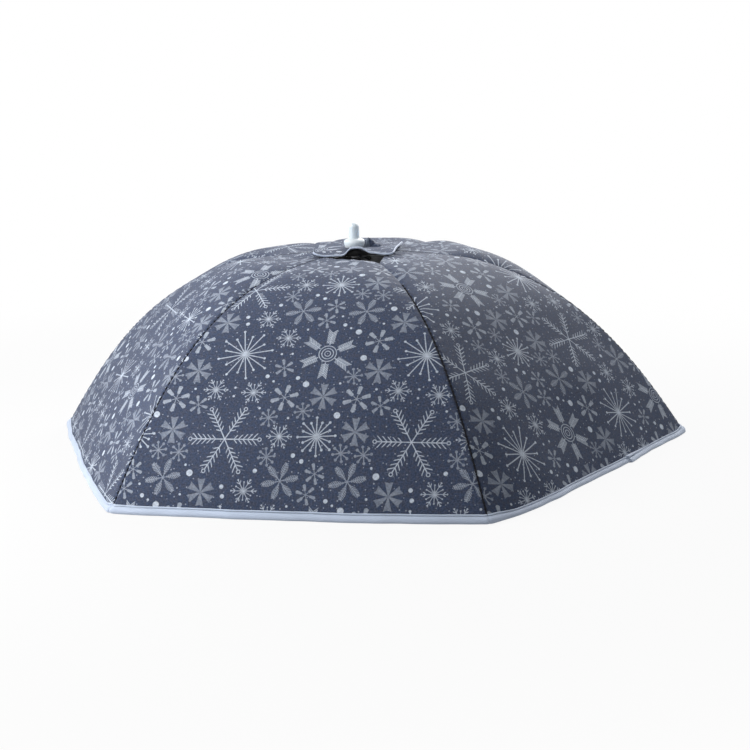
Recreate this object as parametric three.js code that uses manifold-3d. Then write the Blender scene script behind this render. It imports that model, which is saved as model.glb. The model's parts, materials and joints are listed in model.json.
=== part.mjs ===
// A folding six-panel food cover with a sprung-open rib frame, in millimetres.
// +Z is up. The origin is on the table, under the pull knob. Rib 1 points along +X.

import * as THREE from 'three';
import { mergeVertices } from 'three/addons/utils/BufferGeometryUtils.js';
import Module from 'manifold-3d';

const wasm = await Module();
wasm.setup();

// Dome: the cloth's outer face, as the ribs carry it
const panelCount = 6;
const hemRadius = 340; // a corner of the hem, from the middle
const crownHeight = 192.5; // where the cloth's curve would cross the middle
const crownReachShare = 0.5; // of the hem radius, how far the crown's level pull reaches
const shoulderReachShare = 0.718; // of the hem radius, the point that pulls the shoulder out
const shoulderHeightShare = 0.78; // of the crown height, the same point's height
const ventRadius = 56; // a corner of the hole that the panels leave round the crown

// Layers of cloth, from outside to inside
const clearance = 0.3; // between pieces that touch
const clothThickness = 0.8;
const liningThickness = 1.4;
const bindingWidth = 8.4;
const bindingThickness = 1;

// Wire ribs, their eyes and their tips
const ribDiameter = 3;
const eyeRadius = 3.2;
const eyeThickness = 3;
const tipDiameter = 5.4;
const tipLength = 14;
const tipBoreDepth = 11;

// Crown: hub, ring, cap and knob
const pivotRadius = 12; // from the middle to where each rib hinges
const ringDiameter = 2;
const hubRadius = 17;
const hubBelowPivot = 4.6;
const hubRoof = 3.9; // solid plastic over the slots
const neckRadius = 7.3;
const neckHeight = 5;
const capFootRadius = 10;
const capRadius = 11;
const capHeight = 9.5;
const capShoulder = 2.6;
const knobDiameter = 10.9;
const knobAboveCap = 16.6;

// Runner, stretchers and the clips that join them to the ribs
const runnerRadius = 17;
const runnerNeckRadius = 14.6;
const runnerBelowHub = 10.33; // from the hub's underside down to the runner's top
const runnerHeight = 20;
const runnerFlange = 6;
const runnerFloor = 2;
const runnerEndPlay = 1; // room for a stretcher's end as it swings
const stretcherEyeRadius = 2.6;
const stretcherDepth = 3.4;
const clipRadius = 90; // from the middle to the clips
const clipDrop = 9; // from the rib's centreline to the stretcher's pin
const clipLength = 12;
const cheekThickness = 2;
const cheekMargin = 3; // round the pin
const clipCover = 0.6; // over the wire
const pinDiameter = 2;
const pinHeadDiameter = 3.6;
const pinHeadHeight = 0.8;

// Loose flap over the vent
const flapHalfWidth = 45;
const flapTurnDegrees = 8;
const flapShift = 6; // how far it sits off centre
const flapShiftDegrees = 75;
const flapDrop = 4; // from the cap down to the flap's corners
const flapPucker = 6; // how far its front edge stands up
const flapCurl = 3; // how far its two back corners stand up
const flapLifts = [
  { height: flapPucker, turnDegrees: -84, spreadDegrees: 26 },
  { height: flapCurl, turnDegrees: 45, spreadDegrees: 35 },
  { height: flapCurl, turnDegrees: 135, spreadDegrees: 35 },
];
const flapSquareness = 14; // power of the rounded square
const edgingWidth = 2;
const edgingThickness = 1.4;

// Facets
const profileSteps = 14;
const panelSpans = 4;
const ribSteps = 20;
const wireSides = 8;
const roundSides = 28;
const smallSides = 10;
const arcSteps = 4;
const flapSides = 40;
const flapRings = 4;
const solveSteps = 40;

const halfTurn = Math.PI / panelCount; // from a rib to the middle of a panel
const apothem = Math.cos(halfTurn);
const overrun = hubRadius;
const layerStack = clothThickness + clearance + liningThickness;
const ribDepth = layerStack + clearance + tipDiameter / 2;
const knobBore = knobDiameter / 2 + clearance;

const finishes = {
  cloth: { color: 0x4c5566, roughness: 0.82, metalness: 0 },
  lining: { color: 0xc4c8cc, roughness: 0.35, metalness: 0.7 },
  binding: { color: 0xb6c4d8, roughness: 0.7, metalness: 0 },
  plastic: { color: 0xeef2f4, roughness: 0.4, metalness: 0 },
  darkPlastic: { color: 0x24262a, roughness: 0.45, metalness: 0 },
  wire: { color: 0xb4b8bc, roughness: 0.35, metalness: 0.9 },
};

function mesh(name, geometry, finish) {
  geometry.computeVertexNormals();
  const piece = new THREE.Mesh(geometry, new THREE.MeshStandardMaterial(finishes[finish]));
  piece.name = name;
  return piece;
}

function signedVolume(geometry) {
  const [a, b, c] = [new THREE.Vector3(), new THREE.Vector3(), new THREE.Vector3()];
  const { position } = geometry.attributes;
  const corners = geometry.index.array;
  let sum = 0;
  for (let i = 0; i < corners.length; i += 3) {
    a.fromBufferAttribute(position, corners[i]);
    b.fromBufferAttribute(position, corners[i + 1]);
    c.fromBufferAttribute(position, corners[i + 2]);
    sum += a.dot(b.cross(c));
  }
  return sum;
}

// Merge shared vertices and turn the faces outwards.
function closed(geometry) {
  geometry.deleteAttribute('normal');
  geometry.deleteAttribute('uv');
  const merged = mergeVertices(geometry);
  if (signedVolume(merged) < 0) merged.index.array.reverse();
  return merged;
}

function fromTriangles(points, triangles) {
  const geometry = new THREE.BufferGeometry();
  geometry.setAttribute('position', new THREE.Float32BufferAttribute(points.flat(), 3));
  geometry.setIndex(triangles.flat());
  return closed(geometry);
}

function solid(geometry) {
  const ready = closed(geometry);
  return new wasm.Manifold(new wasm.Mesh({
    numProp: 3,
    vertProperties: new Float32Array(ready.attributes.position.array),
    triVerts: new Uint32Array(ready.index.array),
  }));
}

function geometryOf(manifold) {
  const { numProp, vertProperties, triVerts } = manifold.getMesh();
  const points = [];
  for (let i = 0; i < vertProperties.length; i += numProp) {
    points.push([...vertProperties.slice(i, i + 3)]);
  }
  return fromTriangles(points, [Array.from(triVerts)]);
}

// A turned solid about Z, from [radius, height] points.
function turned(points, sides = roundSides) {
  const profile = points.map(([radius, height]) => new THREE.Vector2(radius, height));
  return closed(new THREE.LatheGeometry(profile, sides).rotateX(Math.PI / 2));
}

// Points of a quarter round, from an outer wall up and in to a top face.
function quarterRound(radius, height, fillet) {
  return Array.from({ length: arcSteps + 1 }, (_, i) => {
    const turn = (Math.PI / 2) * (i / arcSteps);
    return [radius - fillet * (1 - Math.cos(turn)), height - fillet * (1 - Math.sin(turn))];
  });
}

// A rod along Y, at a height.
function crossRod(radius, length, z) {
  return new THREE.CylinderGeometry(radius, radius, length, smallSides).translate(0, 0, z);
}

// A radial slot cut from outside, centred on the X axis.
function slotBox(floor, width, low, high) {
  const reach = hubRadius + overrun - floor;
  return new THREE.BoxGeometry(reach, width, high - low)
    .translate(floor + reach / 2, 0, (low + high) / 2);
}

function cutSlots(body, floor, width, low, high) {
  for (let k = 0; k < panelCount; k += 1) {
    const slot = slotBox(floor, width, low, high).rotateZ(2 * halfTurn * k);
    body = body.subtract(solid(slot));
  }
  return body;
}

// The cloth's curve in a panel's middle plane: x is the distance from the middle, y the height.
const domeCurve = new THREE.CubicBezierCurve(
  new THREE.Vector2(0, crownHeight),
  new THREE.Vector2(hemRadius * crownReachShare * apothem, crownHeight),
  new THREE.Vector2(
    hemRadius * shoulderReachShare * apothem,
    crownHeight * shoulderHeightShare,
  ),
  new THREE.Vector2(hemRadius * apothem, 0),
);

// A point at a share of the dome's curve and a depth under the cloth's outer face.
// Past the hem the curve runs straight on.
function domePoint(share, depth) {
  const along = Math.min(share, 1);
  const tangent = domeCurve.getTangent(along);
  const past = (share - along) * hemRadius;
  return domeCurve.getPoint(along)
    .addScaledVector(tangent, past)
    .add(new THREE.Vector2(tangent.y, -tangent.x).multiplyScalar(depth));
}

// The share of the dome's curve where a test first holds.
function solveShare(test) {
  let low = 0;
  let high = 1 + bindingWidth / hemRadius;
  for (let i = 0; i < solveSteps; i += 1) {
    const middle = (low + high) / 2;
    if (test(middle)) high = middle;
    else low = middle;
  }
  return (low + high) / 2;
}

const shareAtHeight = (height, depth) =>
  solveShare((share) => domePoint(share, depth).y < height);
const shareAtRibRadius = (radius, depth) =>
  solveShare((share) => domePoint(share, depth).x > radius * apothem);

// The same point carried out to the rib's plane: x is the distance from the middle, y the height.
function ribPoint(share, depth = ribDepth) {
  const point = domePoint(share, depth);
  return new THREE.Vector2(point.x / apothem, point.y);
}

// The rib's slope in its own plane, as an angle up from level.
function ribSlope(share) {
  const tangent = domeCurve.getTangent(Math.min(share, 1));
  return Math.atan2(tangent.y, tangent.x / apothem);
}

class RibLine extends THREE.Curve {
  constructor(from, to) {
    super();
    this.from = from;
    this.to = to;
  }

  getPoint(t, target = new THREE.Vector3()) {
    const point = ribPoint(THREE.MathUtils.lerp(this.from, this.to, t));
    return target.set(point.x, 0, point.y);
  }
}

// An outline of x and height, given a thickness across the X axis.
function upright(shape, thickness) {
  return new THREE.ExtrudeGeometry(shape, {
    depth: thickness,
    bevelEnabled: false,
    curveSegments: smallSides / 2,
  }).rotateX(Math.PI / 2).translate(0, thickness / 2, 0);
}

// Places that follow from the sizes above.
const ventShare = shareAtRibRadius(ventRadius, 0);
const pivotHeight = ribPoint(shareAtRibRadius(pivotRadius, ribDepth)).y;
const slotRoof = pivotHeight + eyeRadius + clearance;
const slotWidth = eyeThickness + 2 * clearance;
const hubTop = slotRoof + hubRoof;
const hubBottom = pivotHeight - hubBelowPivot;
const flapSeat = hubTop + clearance + clothThickness / 2;
const capBottom = flapSeat + clothThickness / 2 + clearance;
const neckTop = hubTop + neckHeight;
const knobTop = capBottom + capHeight + knobAboveCap;
const runnerBottom = hubBottom - runnerBelowHub - runnerHeight;
const runnerPivotHeight = runnerBottom + runnerHeight / 2;
const clipShare = shareAtRibRadius(clipRadius, ribDepth);
const bindingRise = -bindingWidth * domeCurve.getTangent(1).y;
const ribEndShare = shareAtHeight(
  bindingRise + clearance + tipDiameter + tipLength - tipBoreDepth,
  ribDepth,
);

function hub() {
  const grooveHalf = ringDiameter / 2 + clearance;
  const grooveFloor = pivotRadius - grooveHalf;
  const body = turned([
    [knobBore, hubBottom],
    [hubRadius, hubBottom],
    [hubRadius, pivotHeight - grooveHalf],
    [grooveFloor, pivotHeight - grooveHalf],
    [grooveFloor, pivotHeight + grooveHalf],
    [hubRadius, pivotHeight + grooveHalf],
    [hubRadius, hubTop],
    [neckRadius, hubTop],
    [neckRadius, neckTop],
    [knobBore, neckTop],
    [knobBore, hubBottom],
  ]);
  const slotFloor = pivotRadius - eyeRadius - clearance;
  return geometryOf(cutSlots(solid(body), slotFloor, slotWidth, hubBottom - overrun, slotRoof));
}

// The wire ring that the rib eyes hinge on: straight across each slot.
function hubRing() {
  const corner = pivotRadius / apothem;
  return closed(
    new THREE.TorusGeometry(corner, ringDiameter / 2, wireSides, panelCount)
      .rotateZ(halfTurn)
      .translate(0, 0, pivotHeight),
  );
}

function crownCap() {
  const counterbore = neckRadius + clearance;
  const capTop = capBottom + capHeight;
  return turned([
    [counterbore, capBottom],
    [capFootRadius, capBottom],
    ...quarterRound(capRadius, capTop, capShoulder),
    [knobBore, capTop],
    [knobBore, neckTop + clearance],
    [counterbore, neckTop + clearance],
    [counterbore, capBottom],
  ]);
}

function pullKnob() {
  const radius = knobDiameter / 2;
  return turned([
    [0, runnerBottom + runnerFloor + clearance],
    [radius, runnerBottom + runnerFloor + clearance],
    ...quarterRound(radius, knobTop, radius),
  ]);
}

function runner() {
  const top = runnerBottom + runnerHeight;
  const flangeLow = runnerPivotHeight - runnerFlange / 2;
  const flangeHigh = runnerPivotHeight + runnerFlange / 2;
  const body = turned([
    [0, runnerBottom],
    [runnerNeckRadius, runnerBottom],
    [runnerNeckRadius, flangeLow],
    [runnerRadius, flangeLow],
    [runnerRadius, flangeHigh],
    [runnerNeckRadius, flangeHigh],
    ...quarterRound(runnerNeckRadius, top, runnerFloor),
    [knobBore, top],
    [knobBore, runnerBottom + runnerFloor],
    [0, runnerBottom + runnerFloor],
  ]);
  const slotFloor = pivotRadius - stretcherEyeRadius - runnerEndPlay;
  return geometryOf(cutSlots(
    solid(body),
    slotFloor,
    slotWidth,
    runnerBottom - overrun,
    top + overrun,
  ));
}

// A flat ring eye, standing in the rib's plane.
function eye(outer, bore, thickness, x, z) {
  const shape = new THREE.Shape().absarc(x, z, outer, 0, 2 * Math.PI);
  shape.holes.push(new THREE.Path().absarc(x, z, bore, 0, 2 * Math.PI));
  return upright(shape, thickness);
}

function rib() {
  const bore = ringDiameter / 2 + clearance;
  const start = shareAtRibRadius(pivotRadius + (bore + eyeRadius) / 2, ribDepth);
  const section = new THREE.Shape().absarc(0, 0, ribDiameter / 2, 0, 2 * Math.PI);
  const wire = new THREE.ExtrudeGeometry(section, {
    extrudePath: new RibLine(start, ribEndShare),
    steps: ribSteps,
    curveSegments: wireSides / 2,
  });
  const loop = eye(eyeRadius, bore, eyeThickness, pivotRadius, pivotHeight);
  return geometryOf(solid(wire).add(solid(loop)));
}

function ribTip() {
  const bore = ribDiameter / 2 + clearance;
  const cap = turned([
    [bore, 0],
    [tipDiameter / 2, 0],
    ...quarterRound(tipDiameter / 2, tipLength, tipDiameter / 2),
    [0, tipBoreDepth],
    [bore, tipBoreDepth],
    [bore, 0],
  ], smallSides);
  const end = ribPoint(ribEndShare);
  const slope = ribSlope(ribEndShare);
  const back = tipBoreDepth - clearance;
  return cap.translate(0, 0, -back).rotateY(Math.PI / 2 - slope).translate(end.x, 0, end.y);
}

// Where the stretcher's pin sits under the rib.
function clipPin() {
  const slope = ribSlope(clipShare);
  return ribPoint(clipShare)
    .add(new THREE.Vector2(Math.sin(slope), -Math.cos(slope)).multiplyScalar(clipDrop));
}

const clipHalfWidth = slotWidth / 2 + cheekThickness;

function clip() {
  const half = clipLength / 2;
  const wireBore = ribDiameter / 2 + clearance;
  const top = wireBore + clipCover;
  const outline = new THREE.Shape()
    .moveTo(-half, top)
    .lineTo(-half, -top)
    .lineTo(-cheekMargin, -clipDrop)
    .absarc(0, -clipDrop, cheekMargin, Math.PI, 2 * Math.PI)
    .lineTo(half, -top)
    .lineTo(half, top);
  const slotTop = stretcherEyeRadius + clearance - clipDrop;
  const slotLow = -clipDrop - cheekMargin - overrun;
  const slot = new THREE.BoxGeometry(clipLength + overrun, slotWidth, slotTop - slotLow)
    .translate(0, 0, (slotTop + slotLow) / 2);
  const bore = new THREE.CylinderGeometry(wireBore, wireBore, clipLength + overrun, smallSides)
    .rotateZ(Math.PI / 2);
  const pinHole = crossRod(pinDiameter / 2 + clearance, clipHalfWidth * 2 + overrun, -clipDrop);
  const body = [slot, bore, pinHole].reduce(
    (left, cut) => left.subtract(solid(cut)),
    solid(upright(outline, clipHalfWidth * 2)),
  );
  const seat = ribPoint(clipShare);
  return geometryOf(body).rotateY(-ribSlope(clipShare)).translate(seat.x, 0, seat.y);
}

function pin() {
  const grip = clipHalfWidth + clearance;
  const end = grip + pinHeadHeight;
  const rod = turned([
    [0, -end],
    [pinHeadDiameter / 2, -end],
    [pinHeadDiameter / 2, -grip],
    [pinDiameter / 2, -grip],
    [pinDiameter / 2, grip],
    [pinHeadDiameter / 2, grip],
    [pinHeadDiameter / 2, end],
    [0, end],
  ], smallSides);
  const { x, y } = clipPin();
  return rod.rotateX(Math.PI / 2).translate(x, 0, y);
}

// A flat bar with an eye at each end, from the clip's pin in to the runner's slot.
function stretcher() {
  const from = clipPin();
  const reach = new THREE.Vector2(pivotRadius, runnerPivotHeight).sub(from);
  const length = reach.length();
  const neck = Math.asin(stretcherDepth / 2 / stretcherEyeRadius);
  const bore = pinDiameter / 2 + clearance;
  const outline = new THREE.Shape()
    .absarc(0, 0, stretcherEyeRadius, neck, 2 * Math.PI - neck)
    .absarc(length, 0, stretcherEyeRadius, neck - Math.PI, Math.PI - neck);
  for (const x of [0, length]) {
    outline.holes.push(new THREE.Path().absarc(x, 0, bore, 0, 2 * Math.PI));
  }
  return closed(
    upright(outline, eyeThickness).rotateY(-reach.angle()).translate(from.x, 0, from.y),
  );
}

// A closed solid between two rib planes, from an outline in the panel's middle plane.
function mitredSolid(outline) {
  const ring = THREE.ShapeUtils.isClockWise(outline) ? outline.toReversed() : outline;
  const reach = (point) => point.x * Math.tan(halfTurn) - clearance / 2 / apothem;
  const points = [];
  for (let j = 0; j <= panelSpans; j += 1) {
    const across = (2 * j) / panelSpans - 1;
    for (const point of ring) points.push([point.x, across * reach(point), point.y]);
  }
  const count = ring.length;
  const triangles = [];
  for (let j = 0; j < panelSpans; j += 1) {
    for (let i = 0; i < count; i += 1) {
      const a = j * count + i;
      const b = j * count + ((i + 1) % count);
      triangles.push([a, a + count, b], [b, a + count, b + count]);
    }
  }
  const far = panelSpans * count;
  for (const [a, b, c] of THREE.ShapeUtils.triangulateShape(ring, [])) {
    triangles.push([a, b, c], [far + c, far + b, far + a]);
  }
  return fromTriangles(points, triangles);
}

// One layer of a panel, from the vent's edge down into the hem's binding.
function layer(outerDepth, innerDepth) {
  const line = (depth) => {
    const foot = shareAtHeight(bindingThickness + clearance, depth);
    return Array.from({ length: profileSteps + 1 }, (_, i) =>
      domePoint(THREE.MathUtils.lerp(ventShare, foot, i / profileSteps), depth));
  };
  return mitredSolid([...line(outerDepth), ...line(innerDepth).reverse()]);
}

// The tape folded round the hem of one panel, flat where it stands on the table.
function hemBinding() {
  const at = (depth, height) => domePoint(shareAtHeight(height, depth), depth);
  const outerWall = -clearance;
  const innerWall = layerStack + clearance;
  return mitredSolid([
    at(outerWall - bindingThickness, 0),
    at(outerWall - bindingThickness, bindingRise),
    at(outerWall, bindingRise),
    at(outerWall, bindingThickness),
    at(innerWall, bindingThickness),
    at(innerWall, bindingRise),
    at(innerWall + bindingThickness, bindingRise),
    at(innerWall + bindingThickness, 0),
  ]);
}

// The flap's edge is a rounded square, a little off centre.
function flapRim(angle) {
  const turn = angle - THREE.MathUtils.degToRad(flapTurnDegrees);
  const shift = flapShift * Math.cos(angle - THREE.MathUtils.degToRad(flapShiftDegrees));
  const [across, along] = [Math.cos(turn), Math.sin(turn)].map(Math.abs);
  const sum = across ** flapSquareness + along ** flapSquareness;
  return flapHalfWidth / sum ** (1 / flapSquareness) + shift;
}

// Height of the flap's middle layer: it falls to its corners, and stands up in three places.
function flapHeight(radius, angle) {
  const corner = flapHalfWidth * 2 ** (1 / 2 - 1 / flapSquareness);
  const share = (radius - neckRadius) / (corner - neckRadius);
  const lift = flapLifts.reduce((sum, { height, turnDegrees, spreadDegrees }) => {
    const off = angle - THREE.MathUtils.degToRad(turnDegrees);
    const turn = Math.atan2(Math.sin(off), Math.cos(off));
    return sum + height * Math.exp(-((turn / THREE.MathUtils.degToRad(spreadDegrees)) ** 2));
  }, 0);
  return flapSeat + share ** 2 * (lift - flapDrop);
}

// A closed band round the middle between two radii, each a function of the angle.
function band(inner, outer, rings, thickness) {
  const points = [];
  for (let i = 0; i < flapSides; i += 1) {
    const angle = (2 * Math.PI * i) / flapSides;
    const ring = Array.from({ length: rings + 1 }, (_, j) => {
      const radius = THREE.MathUtils.lerp(inner(angle), outer(angle), j / rings);
      return [radius, flapHeight(radius, angle)];
    });
    const loop = [
      ...ring.map(([radius, height]) => [radius, height + thickness / 2]),
      ...ring.map(([radius, height]) => [radius, height - thickness / 2]).reverse(),
    ];
    for (const [radius, height] of loop) {
      points.push([radius * Math.cos(angle), radius * Math.sin(angle), height]);
    }
  }
  const count = 2 * (rings + 1);
  const triangles = [];
  for (let i = 0; i < flapSides; i += 1) {
    const next = ((i + 1) % flapSides) * count;
    for (let j = 0; j < count; j += 1) {
      const a = i * count + j;
      const b = i * count + ((j + 1) % count);
      const [c, d] = [next + (a % count), next + (b % count)];
      triangles.push([a, b, d], [a, d, c]);
    }
  }
  return fromTriangles(points, triangles);
}

const flapEdge = (angle) => flapRim(angle) - edgingWidth;
const flap = () => band(
  () => neckRadius + clearance,
  (angle) => flapEdge(angle) - clearance,
  flapRings,
  clothThickness,
);
const flapEdging = () => band(flapEdge, flapRim, 1, edgingThickness);

const cover = new THREE.Group();

const crown = new THREE.Group();
crown.add(
  mesh('upper_hub', hub(), 'darkPlastic'),
  mesh('hub_ring', hubRing(), 'wire'),
  mesh('crown_cap', crownCap(), 'plastic'),
  mesh('top_flap', flap(), 'cloth'),
  mesh('flap_edging', flapEdging(), 'binding'),
);

const slider = new THREE.Group();
slider.add(
  mesh('runner', runner(), 'darkPlastic'),
  mesh('pull_knob', pullKnob(), 'plastic'),
);

cover.add(crown, slider);

for (let k = 0; k < panelCount; k += 1) {
  const number = k + 1;
  const arm = new THREE.Group();
  arm.rotation.z = 2 * halfTurn * k;
  arm.add(
    mesh(`rib_${number}`, rib(), 'wire'),
    mesh(`rib_tip_${number}`, ribTip(), 'plastic'),
    mesh(`rib_clip_${number}`, clip(), 'darkPlastic'),
    mesh(`clip_pin_${number}`, pin(), 'wire'),
    mesh(`stretcher_${number}`, stretcher(), 'wire'),
  );
  const panel = new THREE.Group();
  panel.rotation.z = halfTurn * (2 * k + 1);
  panel.add(
    mesh(`cloth_panel_${number}`, layer(0, clothThickness), 'cloth'),
    mesh(`lining_panel_${number}`, layer(clothThickness + clearance, layerStack), 'lining'),
    mesh(`hem_binding_${number}`, hemBinding(), 'binding'),
  );
  cover.add(arm, panel);
}

export default cover;
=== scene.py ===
"""Looks of a folding six-panel food cover: its cloth, lining, tape, flap, crown and frame."""

import json
import logging
import math
from collections.abc import Sequence
from dataclasses import dataclass, field
from enum import Enum
from functools import reduce

import bmesh
import bpy
import numpy as np
from mathutils import Matrix, Vector

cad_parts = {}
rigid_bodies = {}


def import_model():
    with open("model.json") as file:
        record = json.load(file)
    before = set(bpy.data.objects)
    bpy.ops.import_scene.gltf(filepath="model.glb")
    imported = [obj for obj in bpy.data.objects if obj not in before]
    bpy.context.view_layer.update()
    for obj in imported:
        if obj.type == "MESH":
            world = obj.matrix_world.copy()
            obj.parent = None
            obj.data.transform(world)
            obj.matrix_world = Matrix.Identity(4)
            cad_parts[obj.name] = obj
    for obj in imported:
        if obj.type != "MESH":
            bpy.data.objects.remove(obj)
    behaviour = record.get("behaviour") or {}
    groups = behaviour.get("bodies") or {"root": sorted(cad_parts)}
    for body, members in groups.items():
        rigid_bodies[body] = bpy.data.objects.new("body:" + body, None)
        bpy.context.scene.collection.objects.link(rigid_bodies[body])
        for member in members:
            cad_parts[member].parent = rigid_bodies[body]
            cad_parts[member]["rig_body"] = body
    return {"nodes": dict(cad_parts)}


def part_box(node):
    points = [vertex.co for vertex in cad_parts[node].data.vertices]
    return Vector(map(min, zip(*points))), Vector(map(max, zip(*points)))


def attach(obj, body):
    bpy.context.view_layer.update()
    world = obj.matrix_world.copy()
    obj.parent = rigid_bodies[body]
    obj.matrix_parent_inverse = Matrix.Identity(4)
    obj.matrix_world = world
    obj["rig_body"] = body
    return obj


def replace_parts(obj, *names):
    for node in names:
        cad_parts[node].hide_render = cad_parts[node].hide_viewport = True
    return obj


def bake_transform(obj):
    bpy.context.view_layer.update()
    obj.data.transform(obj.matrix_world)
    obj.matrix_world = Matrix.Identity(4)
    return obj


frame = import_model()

LOG = logging.getLogger("food_cover")
MM = 0.001
PANELS = 6
HALF_TURN = math.pi / PANELS
APOTHEM = math.cos(HALF_TURN)
SIDE_SHARE = math.tan(HALF_TURN)
SHARP_ANGLE = math.radians(42)
CLOTH_UV = "Cloth"
PRINT_GROUP = "Snow Print"
WEAVE_GROUP = "Yarn Weave"
WEAR_GROUP = "Soft Wear"
OPAQUE_WHITE = (1.0, 1.0, 1.0, 1.0)

Array = np.ndarray
Piece = bpy.types.Object
Node = bpy.types.Node
Socket = bpy.types.NodeSocket
Feed = Socket | float | int | tuple
Color = tuple[float, float, float]
Ramp = tuple[float, float, float, float]  # start, end, value before, value after
Span = tuple[float, float]  # where something starts, and over how much it grows


class Side(Enum):
    """The half of a panel that hinges on its first or its second rib."""

    FIRST = -1
    SECOND = 1


class Drawing(Enum):
    """The kinds of figure in the printed cloth."""

    BRANCHED = "branched"
    WREATH = "wreath"
    BURST = "burst"
    PADDLES = "paddles"
    WEDGES = "wedges"
    FROST = "frost"
    FEATHERS = "feathers"
    ASTER = "aster"
    DOT = "dot"


class Wiring:
    """Adds nodes to one tree and joins them."""

    def __init__(self, tree: bpy.types.NodeTree) -> None:
        """Keep the tree to wire."""
        self.tree = tree

    def feed(self, node: Node, inputs: dict[str | int, Feed]) -> Node:
        """Link a node's inputs to other nodes, or set their plain values.

        Args:
            node: the node to feed.
            inputs: what feeds each input, by socket name or number.

        Returns:
            The node.
        """
        for name, value in inputs.items():
            if isinstance(value, bpy.types.NodeSocket):
                self.tree.links.new(value, node.inputs[name])
            else:
                node.inputs[name].default_value = value
        return node

    def add(self, kind: str, inputs: dict | None = None, **settings: object) -> Node:
        """Add a node.

        Args:
            kind: Blender's name for the node type.
            inputs: what feeds each input, by socket name or number.
            settings: the node's own properties.

        Returns:
            The new node.
        """
        node = self.tree.nodes.new(kind)
        for name, value in settings.items():
            setattr(node, name, value)
        return self.feed(node, inputs or {})

    def group(self, name: str, inputs: dict) -> dict[str, Socket]:
        """Place a shader group that was built before, and give its outputs."""
        node = self.add("ShaderNodeGroup", node_tree=bpy.data.node_groups[name])
        return self.feed(node, inputs).outputs

    def math(self, operation: str, *values: Feed) -> Socket:
        """One step of arithmetic on numbers."""
        node = self.add("ShaderNodeMath", dict(enumerate(values)), operation=operation)
        return node.outputs[0]

    def vector(self, operation: str, *values: Feed) -> Socket:
        """One step of arithmetic on vectors, whose result is a vector."""
        node = self.add("ShaderNodeVectorMath", dict(enumerate(values)), operation=operation)
        return node.outputs["Vector"]

    def measure(self, operation: str, *values: Feed) -> Socket:
        """A length or a distance of vectors, which is a number."""
        node = self.add("ShaderNodeVectorMath", dict(enumerate(values)), operation=operation)
        return node.outputs["Value"]

    def point(self, x: Feed, y: Feed) -> Socket:
        """A point of the flat print."""
        return self.add("ShaderNodeCombineXYZ", {"X": x, "Y": y}).outputs[0]

    def scaled(self, vector: Feed, level: Feed) -> Socket:
        """A vector or a colour times a number."""
        inputs = {0: vector, "Scale": level}
        return self.add("ShaderNodeVectorMath", inputs, operation="SCALE").outputs["Vector"]

    def ramp(self, value: Feed, start: float, end: float, low: float = 0.0,
             high: float = 1.0) -> Socket:
        """A smooth step from low at start to high at end."""
        inputs = {"Value": value, "From Min": start, "From Max": end, "To Min": low, "To Max": high}
        return self.add("ShaderNodeMapRange", inputs, interpolation_type="SMOOTHSTEP").outputs[0]

    def below(self, value: Feed, edge: float, soft: float) -> Socket:
        """1 where the value is below the edge, and 0 above it."""
        return self.ramp(value, edge - soft, edge + soft, 1.0, 0.0)

    def above(self, value: Feed, edge: float, soft: float) -> Socket:
        """1 where the value is above the edge, and 0 below it."""
        return self.ramp(value, edge - soft, edge + soft)

    def all_of(self, *masks: Socket) -> Socket:
        """The product of several masks."""
        return reduce(lambda first, mask: self.math("MULTIPLY", first, mask), masks)

    def any_of(self, *masks: Socket) -> Socket:
        """The brightest of several masks."""
        return reduce(lambda first, mask: self.math("MAXIMUM", first, mask), masks)

    def mix_vector(self, factor: Feed, first: Feed, second: Feed) -> Socket:
        """Go from one vector to another."""
        node = self.add("ShaderNodeMix", {0: factor, 4: first, 5: second}, data_type="VECTOR")
        return node.outputs[1]

    def mix_color(self, factor: Feed, first: Feed, second: Feed) -> Socket:
        """Go from one colour to another.

        Args:
            factor: how much of the second colour there is.
            first: the colour at 0.
            second: the colour at 1.

        Returns:
            The mixed colour.
        """
        ready = [(*value, 1.0) if isinstance(value, tuple) else value for value in (first, second)]
        node = self.add("ShaderNodeMix", {0: factor, 6: ready[0], 7: ready[1]}, data_type="RGBA")
        return node.outputs[2]

    def noise(self, place: Feed, scale: float, detail: float) -> Socket:
        """Soft noise from 0 to 1, with a scale in spots to the metre."""
        inputs = {"Vector": place, "Scale": scale, "Detail": detail}
        return self.add("ShaderNodeTexNoise", inputs).outputs["Fac"]

    def bump(self, height: Feed, distance: float) -> Socket:
        """A normal from a height, with the distance in metres."""
        node = self.add("ShaderNodeBump", {"Height": height, "Distance": distance})
        return node.outputs["Normal"]


def new_tree(kind: str, name: str, inputs: dict[str, str], outputs: dict[str, str]) -> tuple:
    """Start a node group.

    Args:
        kind: whether its nodes shade or make geometry, as Blender names it.
        name: the group's name.
        inputs: the kind of each named input.
        outputs: the kind of each named output.

    Returns:
        The wiring, the sockets that the group is given and the node that takes its outputs.
    """
    tree = bpy.data.node_groups.new(name, kind)
    for direction, sockets in (("INPUT", inputs), ("OUTPUT", outputs)):
        for socket, value in sockets.items():
            tree.interface.new_socket(socket, in_out=direction, socket_type=f"NodeSocket{value}")
    wiring = Wiring(tree)
    return wiring, wiring.add("NodeGroupInput").outputs, wiring.add("NodeGroupOutput")


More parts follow.
